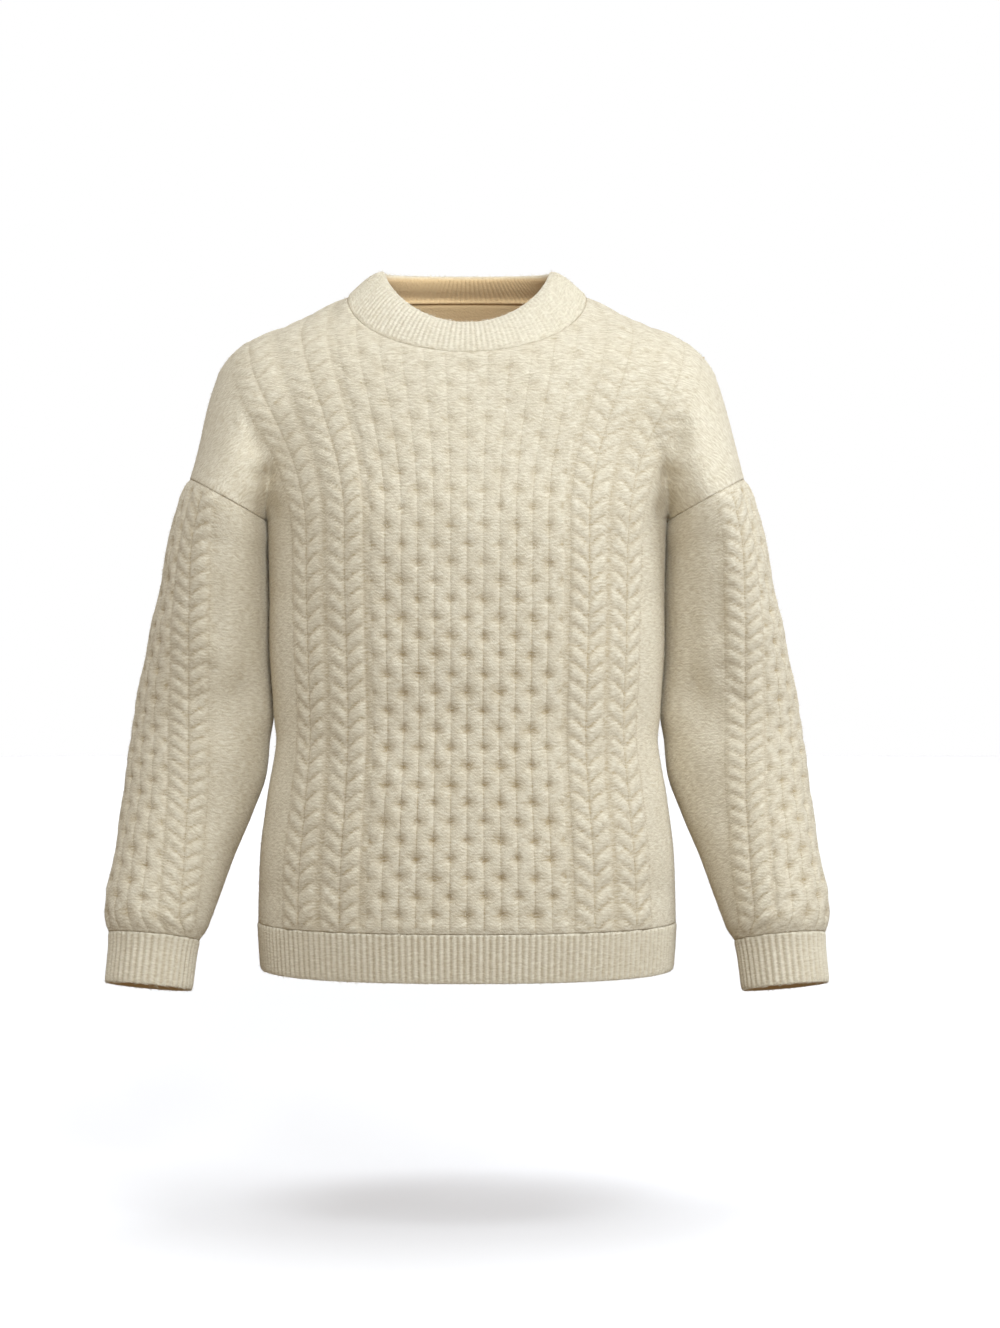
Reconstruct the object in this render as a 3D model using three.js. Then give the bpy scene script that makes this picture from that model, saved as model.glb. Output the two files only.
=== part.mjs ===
// A cream crew neck sweater with aran cables: ribbed bands, dropped shoulders and a honeycomb panel between
// V cables.
// Sizes are millimetres. The origin is the middle of the neck between the shoulder points, where a wearer's
// shoulders carry it. +X is the viewer's right, -Y is the front and +Z is up.
import * as THREE from "three";

// Driving sizes of the knitting
const WALL = 3.2;
const SEAM_GAP = 0.3;
const LAST_GAP = 0.3;
const ROW = 17.6;
const HONEY_PITCH = 15.6;
const HONEY_LINES = 6;
const HONEY_HIGH = 2.6;
const HONEY_PIT = 0.3;
const GUTTER = 6;
const CABLE_WIDTH = 38;
const CABLE_HIGH = 3.2;
const CABLE_LOW = 1.0;
const CABLE_EDGE = 0.3;
const CABLE_SLANT = 0.45;
const RIB_HIGH = 1.6;
const EDGE_ROUND = 1.0;

// Where the stitch bands of a panel stand, as arc lengths from the middle of the front or back
const HONEY_EDGE = HONEY_LINES * HONEY_PITCH;
const INNER_CABLE = HONEY_EDGE + GUTTER + CABLE_WIDTH / 2;
const OUTER_CABLE = INNER_CABLE + GUTTER + CABLE_WIDTH;
const PLAIN_EDGE = OUTER_CABLE + CABLE_WIDTH / 2 + 2;
const CORNER_LINE = HONEY_EDGE + GUTTER;
const PLAIN_WIDTH = 60;

// Lines of the plain knit as shares of its width, its steps in rows above the armpit, and the stitch lines
// that the plain inner side keeps
const PLAIN_SHARES = { outer: [0.25, 0.5, 0.75, 1], inner: [0.4, 0.7, 1] };
const PLAIN_STEP = { below: 2, outer: 0.7, inner: 1 };
const INNER_KINDS = ["plain", "heart", "line"];

// Heights of the seams
const HEM_SEAM = -622;
const HEM_EDGE = -669;
const ARMPIT = -224;
const ARM_TOP = -182;

// Trunk sections: half width at the side seam or shoulder ridge, depth of the front and of the back, how
// square the section is (2 is an ellipse), and how far the stitch bands spread.
const TRUNK = [
  { z: -680, half: 207, front: 128, back: 121, square: 2.35, spread: 1.04 },
  { z: -622, half: 208, front: 129, back: 122, square: 2.35, spread: 1.04 },
  { z: -560, half: 206.5, front: 128, back: 121, square: 2.35, spread: 1.03 },
  { z: -500, half: 199.5, front: 124, back: 117, square: 2.3, spread: 1.0 },
  { z: -430, half: 189.5, front: 120, back: 113, square: 2.3, spread: 0.97 },
  { z: -350, half: 194.5, front: 123, back: 116, square: 2.3, spread: 0.985 },
  { z: -270, half: 194, front: 125, back: 119, square: 2.35, spread: 1.0 },
  { z: -242, half: 195, front: 125, back: 120, square: 2.35, spread: 1.0 },
  { z: -224, half: 199, front: 124, back: 120, square: 2.35, spread: 1.0 },
  { z: -182, half: 214, front: 117, back: 118, square: 2.3, spread: 1.04 },
  { z: -142, half: 232, front: 108, back: 116, square: 2.25, spread: 1.13 },
  { z: -102, half: 250, front: 98, back: 112, square: 2.2, spread: 1.24 },
  { z: -82, half: 249.5, front: 92, back: 108, square: 2.15, spread: 1.3 },
  { z: -62, half: 238, front: 84, back: 103, square: 2.1, spread: 1.35 },
  { z: -42, half: 212, front: 68, back: 97, square: 2.05, spread: 1.39 },
  { z: -22, half: 163, front: 57, back: 88, square: 2, spread: 1.4 },
  { z: 0, half: 120, front: 54, back: 76, square: 2, spread: 1.4 },
  { z: 10, half: 96, front: 52, back: 70, square: 2, spread: 1.4 },
];

// The arm under the dropped shoulder: where its section starts beside the chest and ends outside, and its
// depths
const ARM = [
  { z: -224, inner: 199, outer: 286, front: 88, back: 88 },
  { z: -203, inner: 192, outer: 281, front: 88, back: 88 },
  { z: -182, inner: 180, outer: 276, front: 86, back: 88 },
  { z: -142, inner: 150, outer: 266, front: 80, back: 84 },
  { z: -102, inner: 120, outer: 256, front: 72, back: 79 },
  { z: -82, inner: 115, outer: 249.5, front: 63, back: 71 },
  { z: -62, inner: 110, outer: 238, front: 48, back: 58 },
  { z: -42, inner: 105, outer: 212, front: 30, back: 40 },
];
const ARM_END = -42;
const ARM_BLEND = 10;
const RING_STEPS = 48;
const RIDGE_STEPS = 30;
const ARMPIT_TURN = 9;

// Sleeve sections: centre, half width across the arm, half depth, tilt of the section's plane seen from the
// front, its lean seen from the side, and how far the stitch bands turn towards the body in front.
const SLEEVE = [
  { z: -203, x: 237.5, y: 0, half: 43.9, deep: 87, tilt: 28.6, lean: 0, turn: 0 },
  { z: -224, x: 243.5, y: 0, half: 45.5, deep: 84.5, tilt: 20, lean: 0, turn: 0 },
  { z: -250, x: 249.5, y: 1, half: 48, deep: 81, tilt: 11, lean: 0, turn: 0 },
  { z: -300, x: 253.5, y: 4, half: 53, deep: 74, tilt: 3, lean: 0, turn: 0 },
  { z: -342, x: 258.5, y: 6, half: 58, deep: 68, tilt: 2, lean: 0, turn: 2 },
  { z: -422, x: 265, y: 8, half: 68, deep: 57, tilt: 4, lean: 2, turn: 6 },
  { z: -462, x: 268.5, y: 4, half: 69, deep: 55, tilt: 8, lean: 6, turn: 9 },
  { z: -502, x: 277, y: -4, half: 64, deep: 53.5, tilt: 11, lean: 10, turn: 12 },
  { z: -542, x: 288, y: -14, half: 58.5, deep: 51.5, tilt: 13, lean: 13, turn: 15 },
  { z: -582, x: 297, y: -26, half: 54, deep: 50, tilt: 12, lean: 14, turn: 18 },
  { z: -615, x: 305, y: -35, half: 51, deep: 47.5, tilt: 9, lean: 14, turn: 20 },
  { z: -634, x: 307.5, y: -40, half: 44, deep: 40.5, tilt: 5, lean: 12, turn: 20 },
];
const CUFF_LENGTH = 49;
const CUFF_ENDS = [
  { at: 0, half: 44, deep: 40.5 },
  { at: 0.35, half: 42.5, deep: 38.5 },
  { at: 1, half: 42, deep: 38 },
];
const RING_FADE = 70;
const SLEEVE_HONEY = 4;
const SLEEVE_CABLE = SLEEVE_HONEY * HONEY_PITCH + GUTTER / 2 + CABLE_WIDTH / 2;

// The neck opening at the band's seam, and the band's rim
const NECK = { half: 119, front: 85, back: 73, frontDrop: 65, backRise: 6 };
const RIM = { half: 86, front: 66, back: 60, frontDrop: 31, sideRise: 29, backRise: 33 };
// The front of the rim dips to its middle in a round U rather than a V
const RIM_DIP = 1.4;
const NECK_GAP = 0.4;
const NECK_TURN = 20;
const RIDGE_NORMAL = { x: 0.42, z: 0.91 };
const BAND_BULGE = 1.5;
const HEM_IN = 2;

// How many ribs each band has, how many lines its plain inner side has, and where its ribs start and end
const HEM_RIBS = 112;
const HEM_INNER = 28;
const CUFF_RIBS = 30;
const CUFF_INNER = 12;
const NECK_RIBS = 84;
const NECK_INNER = 24;
const RIB_STOPS = [0, 0.06, 0.94, 1];
const NECK_STOPS = [0.07, 0.9];

const WOOL = new THREE.MeshStandardMaterial({ color: 0xe6deca, roughness: 0.95, metalness: 0 });
const RIB_WOOL = new THREE.MeshStandardMaterial({ color: 0xe0d7c1, roughness: 0.95, metalness: 0 });

const clamp = (v, low, high) => Math.min(high, Math.max(low, v));
const mix = (a, b, w) => a + (b - a) * w;
const smooth = (w) => w * w * (3 - 2 * w);
const vec = (x, y, z) => new THREE.Vector3(x, y, z);

// A table's column between its rows, as a smooth curve that never swings past its rows.
function curve(rows, column, at, key = "z") {
  const up = rows[rows.length - 1][key] > rows[0][key] ? 1 : -1;
  let i = 0;
  while (i < rows.length - 2 && (at - rows[i + 1][key]) * up > 0) i += 1;
  const slope = (n) =>
    (rows[n + 1][column] - rows[n][column]) / (rows[n + 1][key] - rows[n][key]);
  const tangent = (n) => {
    if (n === 0) return slope(0);
    if (n === rows.length - 1) return slope(n - 1);
    const a = slope(n - 1);
    const b = slope(n);
    return a * b <= 0 ? 0 : (2 * a * b) / (a + b);
  };
  const h = rows[i + 1][key] - rows[i][key];
  const t = clamp((at - rows[i][key]) / h, 0, 1);
  const t2 = t * t;
  const t3 = t2 * t;
  return (
    (2 * t3 - 3 * t2 + 1) * rows[i][column] +
    (t3 - 2 * t2 + t) * h * tangent(i) +
    (3 * t2 - 2 * t3) * rows[i + 1][column] +
    (t3 - t2) * h * tangent(i + 1)
  );
}

// How far the cloth stands in front of (side -1) or behind (side 1) the side seams, at x across and z up.
function depth(side, x, z) {
  const column = side < 0 ? "front" : "back";
  const across = Math.abs(x);
  const half = curve(TRUNK, "half", z);
  const square = curve(TRUNK, "square", z);
  const inside = 1 - Math.pow(across / half, square);
  const trunk = inside > 0 ? curve(TRUNK, column, z) * Math.pow(inside, 1 / square) : half - across;
  if (z < ARMPIT || z > ARM_END) return Math.max(trunk, 0);
  const inner = curve(ARM, "inner", z);
  const outer = curve(ARM, "outer", z);
  const middle = (inner + outer) / 2;
  const off = (across - middle) / ((outer - inner) / 2);
  const arm =
    off * off < 1
      ? curve(ARM, column, z) * Math.sqrt(1 - off * off)
      : -Math.abs(across - middle) + (outer - inner) / 2;
  const near = Math.max(ARM_BLEND - Math.abs(trunk - arm), 0) / ARM_BLEND;
  const joined = Math.max(trunk, arm) + (near * near * ARM_BLEND) / 4;
  return Math.max(Math.min(joined, Math.max(trunk, arm) * 2), 0);
}

// The outer edge of the body seen from the front: side seam, arm's outer side or shoulder ridge.
function edge(z) {
  const half = curve(TRUNK, "half", z);
  return z < ARMPIT || z > ARM_END ? half : Math.max(half, curve(ARM, "outer", z));
}

// The sleeve seam lies in one tilted plane; x on it at height z, as far as the panel reaches.
const RING_INNER = curve(TRUNK, "half", ARMPIT);
const RING_OUTER = edge(ARM_TOP);
const RING_SLOPE = (ARM_TOP - ARMPIT) / (RING_OUTER - RING_INNER);
const ringX = (z) => RING_INNER + (z - ARMPIT) / RING_SLOPE;
const RING_ALONG = vec(RING_SLOPE, 0, -1).normalize();
const RING_OUT = vec(1, 0, RING_SLOPE).normalize();

const bodyPoint = (side, x, z) => vec(x, side * depth(side, x, z), z);

function bodyNormal(side, x, z) {
  const d = 0.3;
  const sx = (depth(side, x + d, z) - depth(side, x - d, z)) / (2 * d);
  const sz = (depth(side, x, z + d) - depth(side, x, z - d)) / (2 * d);
  return vec(-sx, side, -sz).normalize();
}

// The row of a panel at height z from the middle to its edge: arc length against x.
const rowCache = new Map();
function rowArc(side, z) {
  const key = side + ":" + z.toFixed(3);
  if (rowCache.has(key)) return rowCache.get(key);
  const STEPS = 90;
  const end = edge(z);
  const row = [];
  let before = null;
  let arc = 0;
  for (let i = 0; i <= STEPS; i++) {
    const x = end * Math.sin(((i / STEPS) * Math.PI) / 2);
    const p = bodyPoint(side, x, z);
    if (before) arc += p.distanceTo(before);
    row.push({ x, arc });
    before = p;
  }
  rowCache.set(key, row);
  return row;
}

function xAtArc(side, z, arc) {
  const row = rowArc(side, z);
  let i = 1;
  while (i < row.length - 1 && row[i].arc < arc) i += 1;
  const w = (arc - row[i - 1].arc) / (row[i].arc - row[i - 1].arc);
  return mix(row[i - 1].x, row[i].x, clamp(w, 0, 1));
}

// Height of the neck seam over x, for the front and the back.
function neckHeight(side, x) {
  const w = Math.sqrt(Math.max(1 - (x / NECK.half) ** 2, 0));
  return side < 0 ? -NECK.frontDrop * w : NECK.backRise * w * w;
}

const bandX = (side, s, z) => xAtArc(side, z, curve(TRUNK, "spread", z) * s);

// How high stitch column s runs before it meets the neck seam or the shoulder ridge.
function columnTop(side, s) {
  const inside = (z) => {
    if (curve(TRUNK, "spread", z) * s >= rowArc(side, z).at(-1).arc) return false;
    const x = bandX(side, s, z);
    return x > NECK.half || z < neckHeight(side, x);
  };
  let low = -150;
  let high = NECK.backRise;
  for (let i = 0; i < 40; i++) {
    const z = (low + high) / 2;
    if (inside(z)) low = z;
    else high = z;
  }
  return low;
}

// Height against arc length up stitch column s from the hem seam.
function columnPath(side, s) {
  const STEPS = 220;
  const top = columnTop(side, s);
  const path = [];
  let before = null;
  let arc = 0;
  for (let i = 0; i <= STEPS; i++) {
    const z = mix(HEM_SEAM, top, Math.sin(((i / STEPS) * Math.PI) / 2));
    const p = bodyPoint(side, bandX(side, s, z), z);
    if (before) arc += p.distanceTo(before);
    path.push({ z, arc });
    before = p;
  }
  return path;
}

function zAtArc(path, arc) {
  let i = 1;
  while (i < path.length - 1 && path[i].arc < arc) i += 1;
  const w = (arc - path[i - 1].arc) / (path[i].arc - path[i - 1].arc);
  return mix(path[i - 1].z, path[i].z, clamp(w, 0, 1));
}

// Stitch lines. Each has its arc from the middle, the rows its points stand on and their relief.
// kind: "line" is a honeycomb line, whose points are pits and crossings in turn; "edge", "lobe" and "heart"
// belong to a V cable; "plain" is plain knit.
function panelLines() {
  const lines = [];
  for (let n = -HONEY_LINES; n <= HONEY_LINES; n++) {
    const border = Math.abs(n) === HONEY_LINES;
    lines.push({ s: n * HONEY_PITCH, kind: border ? "edge" : "line", index: n });
  }
  for (const sign of [-1, 1]) {
    for (const middle of [INNER_CABLE, OUTER_CABLE]) {
      const kinds = ["edge", "lobe", "heart", "lobe", "edge"];
      kinds.forEach((kind, i) => {
        lines.push({ s: sign * (middle + ((i - 2) * CABLE_WIDTH) / 4), kind, index: 0 });
      });
    }
    lines.push({ s: sign * PLAIN_EDGE, kind: "plain", index: 0 });
  }
  return lines.sort((a, b) => a.s - b.s);
}

// Rows of points and their relief along one line; rows are counted in ROW units from the start seam.
function lineRows(line, rows) {
  const step = { line: 1, edge: 1, lobe: 0.5, heart: 1, plain: 2 }[line.kind];
  const points = [];
  for (let k = 0; k * step < rows - LAST_GAP * step; k++) {
    const row = k * step;
    let high = 0;
    if (row > 0) {
      if (line.kind === "line") high = (k + Math.abs(line.index)) % 2 ? HONEY_PIT : HONEY_HIGH;
      if (line.kind === "edge") high = CABLE_EDGE;
      if (line.kind === "heart") high = CABLE_LOW;
      if (line.kind === "lobe") high = k % 2 ? CABLE_HIGH : CABLE_LOW;
    }
    points.push({ row, high });
  }
  points.push({ row: rows, high: 0 });
  return points;
}

// Where zipping pairs the points of a V cable's lines: its lobes run down from the edges to the heart.
const SLANT = { edge: -CABLE_SLANT, lobe: 0, heart: CABLE_SLANT, line: 0, plain: 0 };

// A wall of cloth under construction: points and triangles.
class Cloth {
  constructor() {
    this.points = [];
    this.triangles = [];
  }
  add(p) {
    this.points.push(p);
    return this.points.length - 1;
  }
  // Joins two lines of points; each entry is { id, t, high }. It runs backwards along the first line.
  zip(a, b) {
    let i = 0;
    let j = 0;
    while (i < a.length - 1 || j < b.length - 1) {
      let first;
      if (i === a.length - 1) first = false;
      else if (j === b.length - 1) first = true;
      else {
        const gap = a[i + 1].t - b[j + 1].t;
        if (Math.abs(gap) > 1e-6) first = gap < 0;
        else first = (a[i + 1].high ?? 0) + (b[j].high ?? 0) > (a[i].high ?? 0) + (b[j + 1].high ?? 0);
      }
      if (first) {
        this.triangles.push([a[i].id, b[j].id, a[i + 1].id]);
        i += 1;
      } else {
        this.triangles.push([a[i].id, b[j].id, b[j + 1].id]);
        j += 1;
      }
    }
  }
  volume() {
    let sum = 0;
    for (const [a, b, c] of this.triangles) {
      sum += this.points[a].dot(this.points[b].clone().cross(this.points[c])) / 6;
    }
    return sum;
  }
  mesh(name, material, mirror = false) {
    const flip = this.volume() < 0 !== mirror;
    const data = [];
    for (const p of this.points) data.push(mirror ? -p.x : p.x, p.y, p.z);
    const index = [];
    for (const [a, b, c] of this.triangles) index.push(...(flip ? [a, c, b] : [a, b, c]));
    const shape = new THREE.BufferGeometry();
    shape.setAttribute("position", new THREE.Float32BufferAttribute(data, 3));
    shape.setIndex(index);
    const made = new THREE.Mesh(shape, material);
    made.name = name;
    return made;
  }
}

// Sews an open panel: outer and inner lines of points, each line from the hem seam up.
function closePanel(cloth, outer, inner) {
  for (let i = 0; i < outer.length - 1; i++) cloth.zip(outer[i], outer[i + 1]);
  for (let i = 0; i < inner.length - 1; i++) cloth.zip(inner[i + 1], inner[i]);
  const rail = (lines, end) =>
    lines.map((line) => ({ id: line.at(end).id, t: line.across }));
  cloth.zip(rail(outer, 0), rail(inner, 0));
  const top = (lines) => lines.map((line) => ({ id: line.at(-1).id, t: line.top }));
  cloth.zip(top(inner), top(outer));
  const side = (line) => line.map((p) => ({ id: p.id, t: p.edge }));
  cloth.zip(side(outer.at(-1)), side(inner.at(-1)));
  cloth.zip(side(inner[0]), side(outer[0]));
}

// The outer boundary of a panel: up the side seam, round its half of the sleeve seam, along the ridge.
// ridgeTop is the height where the plain knit ends on the shoulder.
function boundary(side, ridgeTop) {
  const list = [];
  for (let z = HEM_SEAM; z < ARMPIT; z += ROW / 4) {
    list.push({ x: edge(z), z, part: "side" });
  }
  for (let i = 0; i <= RING_STEPS; i++) {
    const w = (1 - Math.cos((i / RING_STEPS) * Math.PI)) / 2;
    const z = mix(ARMPIT, ARM_TOP, w);
    list.push({ x: ringX(z), z, part: "ring" });
  }
  for (let i = 1; i <= RIDGE_STEPS; i++) {
    const z = mix(ARM_TOP, ridgeTop, i / RIDGE_STEPS);
    list.push({ x: edge(z), z, part: "ridge" });
  }
  let arc = 0;
  let before = null;
  for (const b of list) {
    b.p = bodyPoint(side, b.x, b.z);
    if (b.part !== "ring") b.p.y = 0;
    if (before) arc += b.p.distanceTo(before);
    b.arc = arc;
    before = b.p;
  }
  return list;
}

const between = (list, arc) => {
  let i = 1;
  while (i < list.length - 1 && list[i].arc < arc) i += 1;
  const w = clamp((arc - list[i - 1].arc) / (list[i].arc - list[i - 1].arc), 0, 1);
  return { x: mix(list[i - 1].x, list[i].x, w), z: mix(list[i - 1].z, list[i].z, w) };
};

// A point of a panel's boundary, shifted clear of the seam, and the direction of the wall's thickness there.
// At the armpit that direction turns from the side seam's to the sleeve seam's.
function boundaryPoint(side, at, part, armpitArc) {
  const p = bodyPoint(side, at.x, at.z);
  if (part !== "ring") {
    const d = 0.5;
    const slope = (edge(at.z + d) - edge(at.z - d)) / (2 * d);
    p.y = (side * SEAM_GAP) / 2;
    return { p, normal: vec(1, 0, -slope).normalize() };
  }
  p.addScaledVector(RING_ALONG, -SEAM_GAP / 2);
  if (Math.abs(p.y) < SEAM_GAP / 2) p.y = (side * SEAM_GAP) / 2;
  const centre = vec((RING_INNER + RING_OUTER) / 2, 0, (ARMPIT + ARM_TOP) / 2);
  const out = p.clone().sub(centre);
  out.addScaledVector(RING_ALONG, -out.dot(RING_ALONG));
  const along = vec(0, side, 0);
  const angle = clamp(armpitArc / ARMPIT_TURN, 0, 2) * (Math.PI / 2);
  const { half, deep } = SLEEVE[0];
  const outward = vec(out.x / half ** 2, out.y / deep ** 2, out.z / half ** 2).normalize();
  const turned = angle < Math.PI / 2 ? RING_OUT.clone() : outward.negate();
  const normal = turned.multiplyScalar(Math.cos(angle)).addScaledVector(along, Math.sin(angle));
  return { p, normal: normal.normalize() };
}

// The front (side -1) or the back (side 1), from the hem seam to the neck seam and over both arms.
function panel(name, side) {
  const cloth = new Cloth();
  const lines = panelLines();
  const plainPath = columnPath(side, PLAIN_EDGE);
  const plainRows = plainPath.at(-1).arc / ROW;
  const border = boundary(side, plainPath.at(-1).z);
  const armpitArc = border.find((b) => b.part === "ring").arc;
  const ringEnd = border.findLast((b) => b.part === "ring").arc;
  const armpitRow = rowOfHeight(plainPath, ARMPIT);

  // Arc on the boundary that belongs to a row of the plain knit's inner line.
  const borderArc = (row) => {
    if (row <= armpitRow) {
      const z = zAtArc(plainPath, row * ROW);
      const low = border.findLast((b) => b.part === "side" && b.z <= z) ?? border[0];
      return Math.min(low.arc + (z - low.z), armpitArc);
    }
    const w = (row - armpitRow) / (plainRows - armpitRow);
    return mix(armpitArc, border.at(-1).arc, w);
  };

  // A point of the cloth's form at line s and row, with its normal, for sign * x.
  const onLine = (path, s, row) => {
    const z = zAtArc(path, row * ROW);
    const x = bandX(side, Math.abs(s), z) * Math.sign(s || 1);
    return { p: bodyPoint(side, x, z), normal: bodyNormal(side, x, z) };
  };
  const topOf = (path, s) => {
    const last = path.at(-1);
    const sign = Math.sign(s || 1);
    if (Math.abs(s) > CORNER_LINE) {
      const made = boundaryPoint(side, { x: edge(last.z), z: last.z }, "ridge", 0);
      made.p.x *= sign;
      made.normal.x *= sign;
      return made;
    }
    const corner = Math.abs(s) === CORNER_LINE;
    const x = corner ? NECK.half : bandX(side, Math.abs(s), last.z);
    const seam = neckSeam(side, sign * Math.asin(clamp(x / NECK.half, -1, 1)));
    const p = seam.point.addScaledVector(seam.along, -NECK_GAP / 2);
    if (corner) p.y = (side * SEAM_GAP) / 2;
    return { p, normal: seam.normal };
  };

  const bandLine = (line, inward) => {
    const path = columnPath(side, Math.abs(line.s));
    const rows = path.at(-1).arc / ROW;
    const made = lineRows(line, rows).map(({ row, high }, i, all) => {
      const at = i === all.length - 1 ? topOf(path, line.s) : onLine(path, line.s, row);
      const move = inward ? -WALL : high;
      if (i === 0) at.p.z += SEAM_GAP / 2;
      return { id: cloth.add(at.p.addScaledVector(at.normal, move)), t: row + SLANT[line.kind], high, row };
    });
    made.across = line.s;
    made.top = topOf(path, line.s).p.x;
    return made;
  };

  // A line of the plain knit between the outermost stitch band and the boundary.
  const plainLine = (share, sign, stepAbove, inward) => {
    const rows = [];
    for (let row = 0; row < armpitRow - PLAIN_STEP.below * LAST_GAP; row += PLAIN_STEP.below) rows.push(row);
    const above = Math.ceil((plainRows - armpitRow) / stepAbove);
    for (let i = 0; i <= above; i++) rows.push(mix(armpitRow, plainRows, i / above));
    const made = rows.map((row, i) => {
      const z = zAtArc(plainPath, row * ROW);
      const start = { x: bandX(side, PLAIN_EDGE, z), z };
      const end = i === rows.length - 1
        ? { x: border.at(-1).x, z: border.at(-1).z }
        : between(border, borderArc(row));
      const arc = borderArc(row);
      let at;
      if (share === 1 || i === rows.length - 1) {
        const part = arc < armpitArc - 1e-6 ? "side" : arc < ringEnd - 1e-6 ? "ring" : "ridge";
        at = boundaryPoint(side, end, part, arc - armpitArc);
      } else {
        const on = spot(side, start, end, share);
        at = { p: bodyPoint(side, on.x, on.z), normal: bodyNormal(side, on.x, on.z) };
      }
      if (i === 0) at.p.z += SEAM_GAP / 2;
      at.p.addScaledVector(at.normal, inward ? -WALL : 0);
      at.p.x *= sign;
      return { id: cloth.add(at.p), t: row, high: 0, row, edge: arc };
    });
    made.across = sign * (PLAIN_EDGE + share * PLAIN_WIDTH);
    made.top = sign * (border.at(-1).x + share);
    return made;
  };

  const skin = (chosen, shares, stepAbove, inward) => {
    const middle = chosen.map((line) => bandLine(line, inward));
    const right = shares.map((share) => plainLine(share, 1, stepAbove, inward));
    const left = shares.map((share) => plainLine(share, -1, stepAbove, inward)).reverse();
    const all = [...left, ...middle, ...right];
    return side < 0 ? all : all.reverse();
  };
  const outer = skin(lines, PLAIN_SHARES.outer, PLAIN_STEP.outer, false);
  const innerLines = lines
    .filter((line) => INNER_KINDS.includes(line.kind) || Math.abs(line.s) <= CORNER_LINE)
    .map((line) => ({ ...line, kind: "plain" }));
  const inner = skin(innerLines, PLAIN_SHARES.inner, PLAIN_STEP.inner, true);
  if (side > 0) {
    for (const line of [...outer, ...inner]) {
      line.across *= -1;
      line.top *= -1;
    }
  }
  closePanel(cloth, outer, inner);
  return cloth.mesh(name, WOOL);
}

function rowOfHeight(path, z) {
  const i = path.findIndex((step) => step.z >= z);
  const w = (z - path[i - 1].z) / (path[i].z - path[i - 1].z);
  return mix(path[i - 1].arc, path[i].arc, w) / ROW;
}

// A share of the way along the cloth from start to end, both given by x and z.
function spot(side, start, end, share) {
  const STEPS = 40;
  const list = [];
  let arc = 0;
  let before = null;
  for (let i = 0; i <= STEPS; i++) {
    const w = Math.sin(((i / STEPS) * Math.PI) / 2);
    const x = mix(start.x, end.x, w);
    const z = mix(start.z, end.z, i / STEPS);
    const p = bodyPoint(side, x, z);
    if (before) arc += p.distanceTo(before);
    list.push({ x, z, arc });
    before = p;
  }
  return between(list, arc * share);
}

// The neck seam at an angle from the middle of the front or back towards the shoulder: its point on the
// cloth, the direction into the band and the wall's direction there.
function neckSeam(side, angle) {
  const x = NECK.half * Math.sin(angle);
  const z = neckHeight(side, x);
  const point = bodyPoint(side, x, z);
  if (Math.abs(x) > NECK.half - 1e-6) point.y = 0;
  const along = rimPoint(side, angle).sub(point).normalize();
  const share = clamp((NECK.half - Math.abs(x)) / NECK_TURN, 0, 1);
  const ridge = vec(Math.sign(x) * RIDGE_NORMAL.x, 0, RIDGE_NORMAL.z);
  const normal = ridge.lerp(bodyNormal(side, x * 0.995, z - 1), smooth(share)).normalize();
  normal.addScaledVector(along, -normal.dot(along)).normalize();
  return { point, along, normal };
}

// The band's rim at an angle from the middle of the front or back towards the shoulder.
function rimPoint(side, angle) {
  const x = RIM.half * Math.sin(angle);
  const y = side * (side < 0 ? RIM.front : RIM.back) * Math.cos(angle);
  const c = Math.max(Math.cos(angle), 0);
  const z = side < 0 ? mix(RIM.sideRise, -RIM.frontDrop, c ** RIM_DIP) : mix(RIM.sideRise, RIM.backRise, c * c);
  return vec(x, y, z);
}

// Sews a tube: outer and inner lines of points round it, each line running the same way along the tube.
function closeTube(cloth, outer, inner) {
  const next = (lines, i) => lines[(i + 1) % lines.length];
  outer.forEach((line, i) => cloth.zip(line, next(outer, i)));
  inner.forEach((line, i) => cloth.zip(next(inner, i), line));
  const rail = (lines, end) => {
    const loop = lines.map((line) => ({ id: line.at(end).id, t: line.across }));
    return [...loop, { id: loop[0].id, t: loop[0].t + 1 }];
  };
  cloth.zip(rail(outer, 0), rail(inner, 0));
  cloth.zip(rail(inner, -1), rail(outer, -1));
}

// The sleeve's form: a point at a section and an angle round it, 0 outside and a quarter turn in front.
function sleevePoint(z, angle) {
  const at = (column) => curve(SLEEVE, column, z);
  const tilt = THREE.MathUtils.degToRad(at("tilt"));
  const lean = THREE.MathUtils.degToRad(at("lean"));
  const out = vec(Math.cos(tilt), 0, Math.sin(tilt));
  const front = vec(0, -Math.cos(lean), Math.sin(lean));
  const section = vec(at("x"), at("y"), z)
    .addScaledVector(out, at("half") * Math.cos(angle))
    .addScaledVector(front, at("deep") * Math.sin(angle));
  const fade = clamp(1 - (SLEEVE[0].z - z) / RING_FADE, 0, 1);
  if (fade === 0) return section;
  const x = (RING_INNER + RING_OUTER) / 2 + ((RING_OUTER - RING_INNER) / 2) * Math.cos(angle);
  const ringZ = ARMPIT + (x - RING_INNER) * RING_SLOPE;
  const side = Math.sin(angle) >= 0 ? -1 : 1;
  const level = Math.abs(Math.sin(angle)) < 1e-6;
  const ring = vec(x, level ? 0 : side * depth(side, x, ringZ), ringZ);
  const start = SLEEVE[0];
  const slope = THREE.MathUtils.degToRad(start.tilt);
  const first = vec(start.x, start.y, start.z)
    .addScaledVector(vec(Math.cos(slope), 0, Math.sin(slope)), start.half * Math.cos(angle))
    .addScaledVector(vec(0, -1, 0), start.deep * Math.sin(angle));
  return section.addScaledVector(ring.sub(first), smooth(fade));
}

function sleeveNormal(z, angle) {
  const d = 0.01;
  const around = sleevePoint(z, angle + d).sub(sleevePoint(z, angle - d));
  const down = sleevePoint(z - 1, angle).sub(sleevePoint(z + 1, angle));
  return around.cross(down).normalize();
}

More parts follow.
